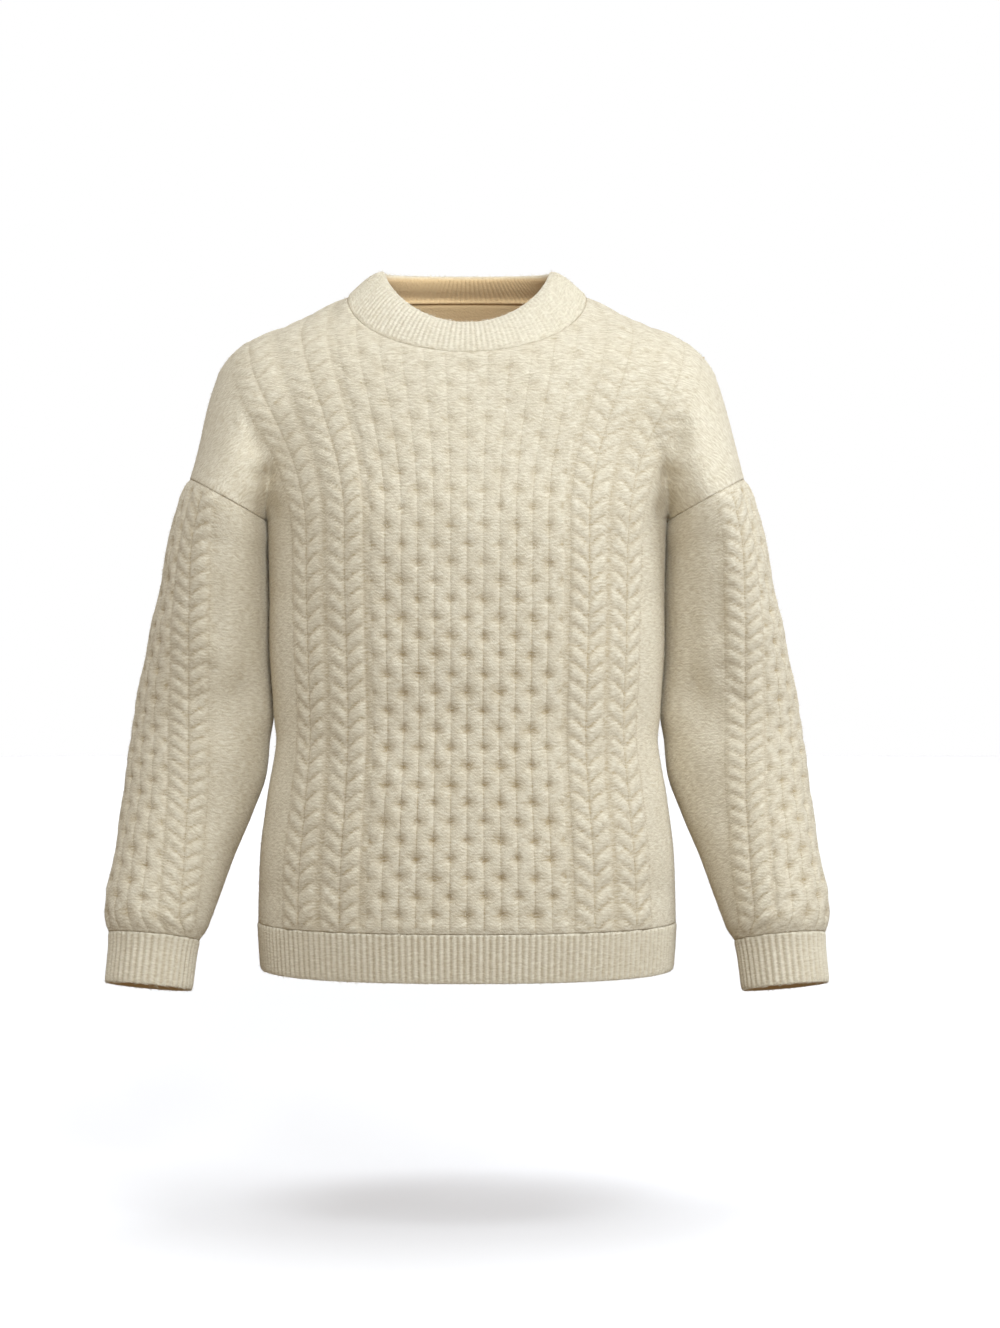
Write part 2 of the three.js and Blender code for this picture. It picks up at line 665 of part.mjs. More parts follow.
// Angle against arc length round the sleeve at a section, forward from the outer side or backward.
function sleeveAngle(z, arc) {
  const STEPS = 120;
  const way = arc < 0 ? -1 : 1;
  let walked = 0;
  let before = sleevePoint(z, 0);
  for (let i = 1; i <= STEPS; i++) {
    const angle = (way * Math.PI * i) / STEPS;
    const p = sleevePoint(z, angle);
    const step = p.distanceTo(before);
    if (walked + step >= Math.abs(arc)) {
      const w = (Math.abs(arc) - walked) / step;
      return (way * Math.PI * (i - 1 + w)) / STEPS;
    }
    walked += step;
    before = p;
  }
  return way * Math.PI;
}

// The stitch lines round a sleeve by arc from its outer side; "share" lines stand in the plain knit.
function sleeveLines() {
  const lines = [];
  for (let n = -SLEEVE_HONEY; n <= SLEEVE_HONEY; n++) {
    const border = Math.abs(n) === SLEEVE_HONEY;
    lines.push({ s: n * HONEY_PITCH, kind: border ? "edge" : "line", index: n });
  }
  const kinds = ["edge", "lobe", "heart", "lobe", "edge"];
  for (const sign of [-1, 1]) {
    kinds.forEach((kind, i) => {
      const s = sign * (SLEEVE_CABLE + ((i - 2) * CABLE_WIDTH) / 4);
      lines.push({ s, kind, index: 0 });
    });
    for (const share of [0.33, 0.67]) lines.push({ sign, share, kind: "plain", index: 0 });
  }
  lines.push({ sign: 1, share: 1, kind: "plain", index: 0 });
  return lines;
}

// One sleeve from the cuff seam up to the sleeve seam; mirrored for the other arm.
function sleeve(name, mirror) {
  const cloth = new Cloth();
  const STEPS = 200;
  const stations = [];
  let length = 0;
  let before = null;
  for (let i = 0; i <= STEPS; i++) {
    const z = mix(SLEEVE.at(-1).z, SLEEVE[0].z, i / STEPS);
    const p = vec(curve(SLEEVE, "x", z), curve(SLEEVE, "y", z), z);
    if (before) length += p.distanceTo(before);
    stations.push({ z, arc: length });
    before = p;
  }
  const rows = length / ROW;
  const plainStart = SLEEVE_CABLE + CABLE_WIDTH / 2 + 2;
  const angleOf = (line, z) => {
    const turn = curve(SLEEVE, "turn", z);
    if (line.s !== undefined) return sleeveAngle(z, line.s + turn);
    const from = sleeveAngle(z, line.sign * plainStart + turn);
    return mix(from, line.sign * Math.PI, line.share);
  };
  const build = (line, inward) => {
    const all = lineRows(line, rows);
    const made = all.map(({ row, high }, i) => {
      const z = zAtArc(stations, row * ROW);
      const angle = angleOf(line, z);
      const p = sleevePoint(z, angle);
      let normal = sleeveNormal(z, angle);
      if (i === all.length - 1) {
        normal.addScaledVector(RING_ALONG, -normal.dot(RING_ALONG)).normalize();
        p.addScaledVector(RING_ALONG, SEAM_GAP / 2);
      }
      if (i === 0) p.addScaledVector(CUFF_AXIS, -SEAM_GAP / 2);
      if (i === 0) normal.addScaledVector(CUFF_AXIS, -normal.dot(CUFF_AXIS)).normalize();
      p.addScaledVector(normal, inward ? -WALL : high);
      return { id: cloth.add(p), t: row + SLANT[line.kind], high };
    });
    const turns = angleOf(line, zAtArc(stations, 0)) / (2 * Math.PI);
    made.across = turns;
    return made;
  };
  const sorted = (lines) => lines.sort((a, b) => b.across - a.across);
  const outer = sorted(sleeveLines().map((line) => build(line, false)));
  const innerLines = sleeveLines().filter((line) => line.kind === "plain" || line.kind === "heart" ||
    (line.kind === "line" && line.index % 2 === 0));
  const inner = sorted(innerLines.map((line) => build({ ...line, kind: "plain" }, true)));
  for (const line of [...outer, ...inner]) line.across = 0.5 - line.across;
  closeTube(cloth, outer, inner);
  return cloth.mesh(name, WOOL, mirror);
}

// A ribbed tube: raised ribs with rounded ends. form gives the point and normal at a turn and a share up.
function ribbedTube(name, material, form, ribs, innerLines, mirror = false) {
  const cloth = new Cloth();
  const outer = [];
  const inner = [];
  for (let i = 0; i < ribs * 2; i++) {
    const raised = i % 2 === 0;
    const stops = raised ? RIB_STOPS : [0, 1];
    const line = stops.map((share) => {
      const at = form(i / (ribs * 2), share);
      const end = share === 0 || share === 1;
      const high = raised && !end ? RIB_HIGH : 0;
      return { id: cloth.add(at.p.addScaledVector(at.normal, high)), t: share, high };
    });
    line.across = i / (ribs * 2);
    outer.push(line);
  }
  for (let i = 0; i < innerLines; i++) {
    const turn = i / innerLines;
    const line = [0, 1].map((share) => {
      const at = form(turn, share);
      return { id: cloth.add(at.p.addScaledVector(at.normal, -WALL)), t: share };
    });
    line.across = turn;
    inner.push(line);
  }
  closeTube(cloth, outer, inner);
  return cloth.mesh(name, material, mirror);
}

// The hem band hangs from the trunk's last section.
function hemForm(turn, share) {
  const z = mix(HEM_EDGE, HEM_SEAM - SEAM_GAP / 2, share);
  const half = curve(TRUNK, "half", z) - HEM_IN * (1 - share);
  const angle = turn * 2 * Math.PI;
  const side = Math.cos(angle) >= 0 ? -1 : 1;
  const square = curve(TRUNK, "square", z);
  const deep = curve(TRUNK, side < 0 ? "front" : "back", z) - HEM_IN * (1 - share);
  const power = 2 / square;
  const s = Math.sin(angle);
  const c = Math.cos(angle);
  const x = half * Math.sign(s) * Math.abs(s) ** power;
  const y = side * deep * Math.abs(c) ** power;
  const nx = Math.sign(s) * Math.abs(s) ** (2 - power) / half;
  const ny = (side * Math.abs(c) ** (2 - power)) / deep;
  return { p: vec(x, y, z), normal: vec(nx, ny, 0).normalize() };
}

// The cuff carries on along the forearm from the sleeve's last section.
const LAST = SLEEVE.at(-1);
const CUFF_TILT = THREE.MathUtils.degToRad(LAST.tilt);
const CUFF_LEAN = THREE.MathUtils.degToRad(LAST.lean);
const CUFF_OUT = vec(Math.cos(CUFF_TILT), 0, Math.sin(CUFF_TILT));
const CUFF_FRONT = vec(0, -Math.cos(CUFF_LEAN), Math.sin(CUFF_LEAN));
const CUFF_AXIS = CUFF_OUT.clone().cross(CUFF_FRONT).normalize();
if (CUFF_AXIS.z > 0) CUFF_AXIS.negate();

function cuffForm(turn, share) {
  const down = (1 - share) * CUFF_LENGTH + SEAM_GAP / 2;
  const half = curve(CUFF_ENDS, "half", 1 - share, "at");
  const deep = curve(CUFF_ENDS, "deep", 1 - share, "at");
  const angle = turn * 2 * Math.PI;
  const p = vec(LAST.x, LAST.y, LAST.z)
    .addScaledVector(CUFF_AXIS, down)
    .addScaledVector(CUFF_OUT, half * Math.cos(angle))
    .addScaledVector(CUFF_FRONT, deep * Math.sin(angle));
  const normal = vec(0, 0, 0)
    .addScaledVector(CUFF_OUT, Math.cos(angle) / half)
    .addScaledVector(CUFF_FRONT, Math.sin(angle) / deep)
    .normalize();
  return { p, normal };
}

// The neckband stands between the neck seam and its rim. Its points at the seam are those of the panels.
function bandForm(turn, share) {
  const angle = turn * 2 * Math.PI;
  const side = Math.cos(angle) >= 0 ? -1 : 1;
  const off = Math.asin(clamp(Math.sin(angle), -1, 1));
  const seam = neckSeam(side, off);
  const base = seam.point.clone().addScaledVector(seam.along, NECK_GAP / 2);
  const rim = rimPoint(side, off);
  const p = base.clone().lerp(rim, share);
  const bulge = Math.sin(share * Math.PI) * BAND_BULGE;
  const out = vec(Math.sin(off) / RIM.half, (side * Math.cos(off)) / RIM.front, 0).normalize();
  out.addScaledVector(seam.along, -out.dot(seam.along)).normalize();
  const normal = seam.normal.clone().lerp(out, smooth(clamp(share * 3, 0, 1))).normalize();
  return { p: p.addScaledVector(normal, bulge), normal };
}

function neckband() {
  const cloth = new Cloth();
  const turns = [];
  for (const side of [-1, 1]) {
    for (const x of neckStops(side)) {
      const off = Math.asin(clamp(x / NECK.half, -1, 1));
      turns.push(((side < 0 ? off : Math.PI - off) / (2 * Math.PI) + 1) % 1);
    }
  }
  turns.sort((a, b) => a - b);
  const coarse = turns.filter((turn, i) => i === 0 || turn - turns[i - 1] > 1e-4);
  const fine = Array.from({ length: NECK_RIBS * 2 }, (_, i) => i / (NECK_RIBS * 2));
  const thin = Array.from({ length: NECK_INNER }, (_, i) => i / NECK_INNER);
  const loop = (list, share, move) => {
    const made = list.map((turn, i) => {
      const at = bandForm(turn, share);
      return { id: cloth.add(at.p.addScaledVector(at.normal, move(i))), t: turn };
    });
    return [...made, { id: made[0].id, t: made[0].t + 1 }];
  };
  const ribs = (i) => (i % 2 === 0 ? RIB_HIGH : 0);
  const loops = [
    loop(thin, 0.5, () => -WALL),
    loop(coarse, 0, () => -WALL),
    loop(coarse, 0, () => 0),
    loop(fine, NECK_STOPS[0], ribs),
    loop(fine, NECK_STOPS[1], ribs),
    loop(fine, 1, () => -EDGE_ROUND / 2),
    loop(thin, 1, () => -WALL),
  ];
  loops.forEach((each, i) => cloth.zip(loops[(i + 1) % loops.length], each));
  return cloth.mesh("neckband", RIB_WOOL);
}

// Where the panels' lines meet the neck seam, as x, with the two shoulder points.
function neckStops(side) {
  const stops = [-NECK.half, NECK.half];
  for (const line of panelLines()) {
    if (Math.abs(line.s) >= CORNER_LINE) continue;
    const path = columnPath(side, Math.abs(line.s));
    stops.push(Math.sign(line.s) * bandX(side, Math.abs(line.s), path.at(-1).z));
  }
  return stops.sort((a, b) => a - b);
}

const group = new THREE.Group();
group.add(panel("front", -1));
group.add(panel("back", 1));
group.add(sleeve("sleeve_right", false));
group.add(sleeve("sleeve_left", true));
group.add(neckband());
group.add(ribbedTube("hem_rib", RIB_WOOL, hemForm, HEM_RIBS, HEM_INNER));
group.add(ribbedTube("cuff_right", RIB_WOOL, cuffForm, CUFF_RIBS, CUFF_INNER));
group.add(ribbedTube("cuff_left", RIB_WOOL, cuffForm, CUFF_RIBS, CUFF_INNER, true));

export default group;
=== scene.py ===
import math

import bpy
import numpy as np
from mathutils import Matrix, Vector


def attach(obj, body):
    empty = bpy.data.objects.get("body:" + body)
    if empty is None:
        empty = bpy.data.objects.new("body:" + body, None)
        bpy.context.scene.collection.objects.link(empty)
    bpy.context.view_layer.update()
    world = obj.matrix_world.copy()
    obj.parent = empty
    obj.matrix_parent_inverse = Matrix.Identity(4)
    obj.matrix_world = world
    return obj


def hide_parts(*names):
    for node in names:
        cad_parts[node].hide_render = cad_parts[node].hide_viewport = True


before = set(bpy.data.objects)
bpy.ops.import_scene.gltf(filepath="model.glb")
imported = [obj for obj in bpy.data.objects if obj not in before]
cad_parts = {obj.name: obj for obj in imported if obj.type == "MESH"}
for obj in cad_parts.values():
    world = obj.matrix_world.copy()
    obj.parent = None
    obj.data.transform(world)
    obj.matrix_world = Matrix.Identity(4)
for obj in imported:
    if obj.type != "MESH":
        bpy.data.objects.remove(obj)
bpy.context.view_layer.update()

bl_info = {
    "name": "Cable knit sweater",
    "version": (1, 0, 0),
    "blender": (4, 5, 0),
    "location": "3D View > Sidebar > Sweater",
    "description": "Builds the knitted walls, ribs, seams and fuzz of a cable knit sweater",
    "category": "Object",
}

MM = 0.001
SEED = 7

# The wall and the stitch relief
WALL = 3.2
SEAM_GAP = 0.1
ROW = 17.6
HONEY_PITCH = 15.6
HONEY_LINES = 6
GUTTER = 6
CABLE_WIDTH = 38
HONEY_EDGE = HONEY_LINES * HONEY_PITCH
INNER_CABLE = HONEY_EDGE + GUTTER + CABLE_WIDTH / 2
OUTER_CABLE = INNER_CABLE + GUTTER + CABLE_WIDTH
PLAIN_EDGE = OUTER_CABLE + CABLE_WIDTH / 2 + 2
CORNER_LINE = HONEY_EDGE + GUTTER
SLEEVE_HONEY = 4
SLEEVE_ROW = 15
SLEEVE_CABLE = SLEEVE_HONEY * HONEY_PITCH + GUTTER / 2 + CABLE_WIDTH / 2
SLEEVE_PLAIN = SLEEVE_CABLE + CABLE_WIDTH / 2 + 2

# Heights of the seams
HEM_SEAM = -622
HEM_EDGE = -669
ARMPIT = -224
ARM_TOP = -182
ARM_END = -42
ARM_BLEND = 10
RING_FADE = 70


def table(names, rows):
    """Rows of numbers as named columns in rising order of the first, each with its slopes for curve()."""
    names = names.split()
    data = np.array(sorted(rows), float).T
    columns = dict(zip(names, data))
    key = columns[names[0]]
    made = {"key": key}
    for name in names[1:]:
        slope = np.diff(columns[name]) / np.diff(key)
        a, b = slope[:-1], slope[1:]
        total = np.where(a * b > 0, a + b, 1)
        middle = np.where(a * b > 0, 2 * a * b / total, 0)
        made[name] = (columns[name], np.concatenate((slope[:1], middle, slope[-1:])))
    return made


TRUNK = table("z half front back square spread", [
    (-680, 207, 128, 121, 2.35, 1.04),
    (-622, 208, 129, 122, 2.35, 1.04),
    (-560, 206.5, 128, 121, 2.35, 1.03),
    (-500, 199.5, 124, 117, 2.3, 1.0),
    (-430, 189.5, 120, 113, 2.3, 0.97),
    (-350, 194.5, 123, 116, 2.3, 0.985),
    (-270, 194, 125, 119, 2.35, 1.0),
    (-242, 195, 125, 120, 2.35, 1.0),
    (-224, 199, 124, 120, 2.35, 1.0),
    (-182, 214, 117, 118, 2.3, 1.04),
    (-142, 232, 108, 116, 2.25, 1.13),
    (-102, 250, 98, 112, 2.2, 1.24),
    (-82, 249.5, 92, 108, 2.15, 1.3),
    (-62, 238, 84, 103, 2.1, 1.35),
    (-42, 212, 68, 97, 2.05, 1.39),
    (-22, 163, 57, 88, 2, 1.4),
    (0, 120, 54, 76, 2, 1.4),
    (10, 96, 52, 70, 2, 1.4),
])
ARM = table("z inner outer front back", [
    (-224, 199, 286, 88, 88),
    (-203, 192, 281, 88, 88),
    (-182, 180, 276, 86, 88),
    (-142, 150, 266, 80, 84),
    (-102, 120, 256, 72, 79),
    (-82, 115, 249.5, 63, 71),
    (-62, 110, 238, 48, 58),
    (-42, 105, 212, 30, 40),
])
SLEEVE = table("z x y half deep tilt lean turn", [
    (-203, 237.5, 0, 43.9, 87, 28.6, 0, 0),
    (-224, 243.5, 0, 45.5, 84.5, 20, 0, 0),
    (-250, 249.5, 1, 48, 81, 11, 0, 0),
    (-300, 253.5, 4, 53, 74, 3, 0, 0),
    (-342, 258.5, 6, 58, 68, 2, 0, 2),
    (-422, 265, 8, 68, 57, 4, 2, 6),
    (-462, 268.5, 4, 69, 55, 8, 6, 9),
    (-502, 277, -4, 64, 53.5, 11, 10, 12),
    (-542, 288, -14, 58.5, 51.5, 13, 13, 15),
    (-582, 297, -26, 54, 50, 12, 14, 18),
    (-615, 305, -35, 51, 47.5, 9, 14, 20),
    (-634, 307.5, -40, 44, 40.5, 5, 12, 20),
])
SLEEVE_TOP = {"z": -203, "x": 237.5, "y": 0, "half": 43.9, "deep": 87, "tilt": 28.6}
SLEEVE_END = {"z": -634, "x": 307.5, "y": -40, "tilt": 5, "lean": 12}
CUFF_LENGTH = 49
CUFF_ENDS = table("at half deep", [(0, 44, 40.5), (0.35, 42.5, 38.5), (1, 42, 38)])
NECK = {"half": 119, "front": 85, "back": 73, "frontDrop": 65, "backRise": 6}
RIM = {"half": 86, "front": 66, "back": 60, "frontDrop": 31, "sideRise": 29, "backRise": 33}
RIM_DIP = 1.4
NECK_GAP = 0.1
NECK_TURN = 20
RIDGE_NORMAL = np.array((0.42, 0, 0.91))
BAND_BULGE = 1.5
# The neckband is knitted double, so its free edge is a thick round roll
RIM_THICK = 9.6
RIM_REACH = (15, 8)
RIM_STOPS = (0.9, 0.925, 0.95, 0.97, 0.986, 0.996, 1.0)
# The wall stands this far out at a cuff's seam, and at the hem's out to the plain sides
SEAM_LIFT = 0.6
LIFT_EDGE = (999, 172)
HEM_IN = 2
# Trunk and sleeve swell towards each other down to this height, and stay this far apart
TOUCH_END = -412
TOUCH_GAP = 0.8
TOUCH_MOST = 13
HEM_RIBS = 176
CUFF_RIBS = 40
NECK_RIBS = 132


def curve(rows, column, at):
    """A table's column between its rows, as a smooth curve that never swings past its rows."""
    keys = rows["key"]
    values, tangent = rows[column]
    at = np.asarray(at, float)
    i = np.clip(np.searchsorted(keys, at) - 1, 0, len(keys) - 2)
    h = keys[i + 1] - keys[i]
    t = np.clip((at - keys[i]) / h, 0, 1)
    t2, t3 = t * t, t * t * t
    return (
        (2 * t3 - 3 * t2 + 1) * values[i]
        + (t3 - 2 * t2 + t) * h * tangent[i]
        + (3 * t2 - 2 * t3) * values[i + 1]
        + (t3 - t2) * h * tangent[i + 1]
    )


def smooth(w):
    """Ease between 0 and 1."""
    w = np.clip(w, 0, 1)
    return w * w * (3 - 2 * w)


def unit(v):
    """Vectors at length one, along the last axis."""
    return v / np.maximum(np.linalg.norm(v, axis=-1, keepdims=True), 1e-9)


def stack(x, y, z):
    """Points from three arrays of numbers, spread to one shape."""
    return np.stack(np.broadcast_arrays(x, y, z), axis=-1).astype(float)


def bell(x, width):
    """1 at x = 0, falling off softly over width."""
    return np.exp(-((x / width) ** 2))


# The form of the body: the same cloth surface as the solids have

def depth(side, x, z):
    """How far the cloth stands in front of (side -1) or behind (side 1) the side seams."""
    column = "front" if side < 0 else "back"
    across = np.abs(x)
    half = curve(TRUNK, "half", z)
    square = curve(TRUNK, "square", z)
    inside = 1 - (across / half) ** square
    round_part = curve(TRUNK, column, z) * np.maximum(inside, 0) ** (1 / square)
    trunk = np.where(inside > 0, round_part, half - across)
    inner, outer = curve(ARM, "inner", z), curve(ARM, "outer", z)
    middle, reach = (inner + outer) / 2, (outer - inner) / 2
    off = (across - middle) / reach
    tube = curve(ARM, column, z) * np.sqrt(np.maximum(1 - off * off, 0))
    arm = np.where(off * off < 1, tube, reach - np.abs(across - middle))
    near = np.maximum(ARM_BLEND - np.abs(trunk - arm), 0) / ARM_BLEND
    higher = np.maximum(trunk, arm)
    joined = np.minimum(higher + near * near * ARM_BLEND / 4, higher * 2)
    return np.maximum(np.where((z < ARMPIT) | (z > ARM_END), trunk, joined), 0)


def edge(z):
    """The outer edge of the body seen from the front."""
    half = curve(TRUNK, "half", z)
    wide = np.maximum(half, curve(ARM, "outer", z))
    return np.where((z < ARMPIT) | (z > ARM_END), half, wide)


RING_INNER = float(curve(TRUNK, "half", ARMPIT))
RING_OUTER = float(edge(np.array(float(ARM_TOP))))
RING_SLOPE = (ARM_TOP - ARMPIT) / (RING_OUTER - RING_INNER)
RING_ALONG = unit(np.array((RING_SLOPE, 0.0, -1.0)))


def body_point(side, x, z):
    """The point of the cloth at x across and z up."""
    return stack(x, side * depth(side, x, z), z)


def body_normal(side, x, z):
    """The outward direction of the cloth at x across and z up."""
    d = 0.3
    sx = (depth(side, x + d, z) - depth(side, x - d, z)) / (2 * d)
    sz = (depth(side, x, z + d) - depth(side, x, z - d)) / (2 * d)
    return unit(stack(-sx, side, -sz))


def row_arc(side, z):
    """x and arc length from the middle to the edge of the body, for each height in z."""
    steps = 90
    w = np.sin(np.arange(steps + 1) / steps * math.pi / 2)
    x = edge(z)[:, None] * w[None, :]
    p = body_point(side, x, z[:, None])
    step = np.linalg.norm(np.diff(p, axis=1), axis=-1)
    return x, np.concatenate((np.zeros((len(z), 1)), np.cumsum(step, axis=1)), axis=1)


def x_at_arc(side, z, arc):
    """x where the cloth is arc millimetres from the middle, at heights z."""
    z, arc = np.asarray(z, float).ravel(), np.asarray(arc, float).ravel()
    found = np.empty(len(z))
    part = 6000
    for start in range(0, len(z), part):
        cut = slice(start, start + part)
        x, arcs = row_arc(side, z[cut])
        i = np.clip((arcs < arc[cut, None]).sum(axis=1), 1, x.shape[1] - 1)
        n = np.arange(len(i))
        a0, a1 = arcs[n, i - 1], arcs[n, i]
        w = np.clip((arc[cut] - a0) / (a1 - a0), 0, 1)
        found[cut] = x[n, i - 1] + (x[n, i] - x[n, i - 1]) * w
    return found


def neck_height(side, x):
    """Height of the neck seam over x."""
    w = np.sqrt(np.maximum(1 - (x / NECK["half"]) ** 2, 0))
    return -NECK["frontDrop"] * w if side < 0 else NECK["backRise"] * w * w


def column_top(side, s):
    """How high each stitch column runs before it meets the neck seam or the shoulder ridge."""
    low = np.full(len(s), -150.0)
    high = np.full(len(s), float(NECK["backRise"]))
    for _ in range(30):
        z = (low + high) / 2
        reach = curve(TRUNK, "spread", z) * s
        end = row_arc(side, z)[1][:, -1]
        x = x_at_arc(side, z, reach)
        inside = (reach < end) & ((x > NECK["half"]) | (z < neck_height(side, x)))
        low = np.where(inside, z, low)
        high = np.where(inside, high, z)
    return low


def column_paths(side, s):
    """Height against arc length up each stitch column from the hem seam."""
    steps = 150
    top = column_top(side, s)
    w = np.sin(np.arange(steps + 1) / steps * math.pi / 2)
    z = HEM_SEAM + (top[:, None] - HEM_SEAM) * w[None, :]
    reach = curve(TRUNK, "spread", z) * s[:, None]
    x = x_at_arc(side, z, reach).reshape(z.shape)
    step = np.linalg.norm(np.diff(body_point(side, x, z), axis=1), axis=-1)
    arc = np.concatenate((np.zeros((len(s), 1)), np.cumsum(step, axis=1)), axis=1)
    return z, arc


def each_interp(at, xs, ys):
    """np.interp row by row."""
    return np.stack([np.interp(a, x, y) for a, x, y in zip(at, xs, ys)])


def swelling(z):
    """How far the trunk's side and the sleeve's inner side each swell into the gap between them."""
    sleeve = curve(SLEEVE, "x", z) - curve(SLEEVE, "half", z) * np.cos(np.radians(curve(SLEEVE, "tilt", z)))
    gap = sleeve - curve(TRUNK, "half", z)
    return np.clip(gap - TOUCH_GAP, 0, TOUCH_MOST) / 2 * smooth((z - TOUCH_END + 35) / 35) * (z < ARMPIT)


def border_of(side, ridge_top):
    """The outer boundary of a panel: side seam, half of the sleeve seam and shoulder ridge, by arc length."""
    down = np.arange(HEM_SEAM, ARMPIT, ROW / 4)
    ring = ARMPIT + (ARM_TOP - ARMPIT) * (1 - np.cos(np.linspace(0, math.pi, 97))) / 2
    ridge = np.linspace(ARM_TOP, ridge_top, 61)[1:]
    z = np.concatenate((down, ring, ridge))
    ring_x = RING_INNER + (ring - ARMPIT) / RING_SLOPE
    x = np.concatenate((edge(down), ring_x, edge(ridge)))
    p = body_point(side, x, z)
    on_ring = np.zeros(len(z), bool)
    on_ring[len(down):len(down) + len(ring)] = True
    p[~on_ring, 1] = 0
    arc = np.concatenate(([0], np.cumsum(np.linalg.norm(np.diff(p, axis=0), axis=-1))))
    return {"x": x, "z": z, "arc": arc, "armpit": arc[len(down)], "ring_end": arc[len(down) + len(ring) - 1]}


# The stitch relief, as height over the plain knit, and the painted shade that darkens the places between the stitches

def uneven(a, b):
    """An even-looking scatter between 0 and 1 that is the same each time for the same two numbers."""
    wave = np.sin(a * 12.9898 + b * 78.233 + SEED) * 43758.5453
    return wave - np.floor(wave)


def honeycomb(s, row):
    """Height and depth shade of the honeycomb at arc s from its middle line."""
    column = np.round(s / HONEY_PITCH)
    high = np.full(np.broadcast(s, row).shape, 2.5)
    deep = np.zeros(high.shape)
    for step in (-1, 0, 1):
        n = column + step
        ds = s - n * HONEY_PITCH
        odd = np.mod(np.abs(n), 2)
        k = 2 * np.round((row - 1 + odd) / 2) + 1 - odd
        dr = (row - k) * ROW + 1.6 * (uneven(n, k) - 0.5)
        slant = ds + 0.12 * dr + 1.4 * (uneven(k, n) - 0.5)
        size = 0.82 + 0.36 * uneven(n + 0.5, k)
        dent = np.exp(-((np.abs(slant) / (6.2 * size)) ** 1.5) - (np.abs(dr) / (6.2 * size)) ** 1.7)
        core = np.exp(-((np.abs(slant) / (5.6 * size)) ** 1.35) - (np.abs(dr - 0.8) / (4.6 * size)) ** 1.35)
        high = high - 3.3 * dent * (k > 0.5)
        deep = np.maximum(deep, (0.62 + 0.28 * size) * core * (k > 0.5))
    line = s - column * HONEY_PITCH
    strong = 0.34 + 0.34 * uneven(column, np.round(row / 3))
    high = high - 0.75 * bell(line, 1.0) - 0.35 * bell(line, 2.6)
    deep = np.maximum(deep, strong * bell(line, 0.62))
    swell = np.cos(2 * math.pi * line / HONEY_PITCH)
    return high - 0.25 * swell, deep


def v_cable(t, row):
    """Height and depth shade of a V cable; t is the arc from its heart, rows count up."""
    share = np.clip(np.abs(t) / (CABLE_WIDTH / 2), 0, 1.2)
    phase = row - 1.0 * share + 0.34 * share ** 4
    lobe = np.abs(np.sin(math.pi * phase)) ** 0.7
    across = np.clip(np.sin(math.pi * np.clip(share, 0.02, 1) ** 0.92), 0, 1) ** 0.5
    high = 0.2 + across * (0.7 + 2.8 * lobe)
    valley = np.exp(-((np.sin(math.pi * phase) / 0.34) ** 2)) * across
    heart = bell(t, 1.0)
    side = bell(np.abs(t) - CABLE_WIDTH / 2 - 0.5, 1.5)
    root = valley * bell(np.abs(t) - 3, 3.5)
    deep = np.maximum(np.maximum(0.62 * valley + 0.25 * root, 0.6 * heart), 0.45 * side)
    return high - 0.5 * heart, deep


def stitches(s, row, honey_edge, cables):
    """Height and depth shade over a whole panel or sleeve."""
    across = np.abs(s)
    high, deep = honeycomb(s, row)
    inside = smooth((honey_edge - across + 1) / 3)
    high, deep = high * inside, deep * inside
    gutter = bell(across - honey_edge - 1.6, 1.3) * 0.35
    deep = np.maximum(deep, gutter)
    for middle in cables:
        rise, shade = v_cable(across - middle, row)
        on = np.abs(across - middle) < CABLE_WIDTH / 2 + 2.5
        high = np.where(on & (across > honey_edge), np.maximum(high, rise), high)
        deep = np.where(on, np.maximum(deep, shade), deep)
    return high, deep


def stops_of(honey_lines, cables, last):
    """Arc stops of the stitch columns from the middle line: closer at the fine grooves."""
    cell = (0, 0.8, 2.3, 4.2, 6.3, 9.3, 11.4, 13.3, 14.8)
    stops = [n * HONEY_PITCH + c for n in range(honey_lines) for c in cell]
    stops.append(honey_lines * HONEY_PITCH)
    half = CABLE_WIDTH / 2
    spread = (-half - 1.2, -half + 1, -15.4, -12.8, -10.2, -7.6, -5, -2.6, -0.9)
    for middle in cables:
        stops += [middle + c for c in spread]
        stops += [middle]
        stops += [middle - c for c in reversed(spread)]
    stops = sorted(set(stops) | {last})
    kept = [stops[0]]
    for stop in stops[1:]:
        if stop - kept[-1] > 0.55:
            kept.append(stop)
    return np.array(kept)


# Meshes

# The value of the deep attribute that marks the inside, where painted warm bounce light turns the wool a brighter,
# warmer colour
PAINTED_BOUNCE_MARK = -1.0


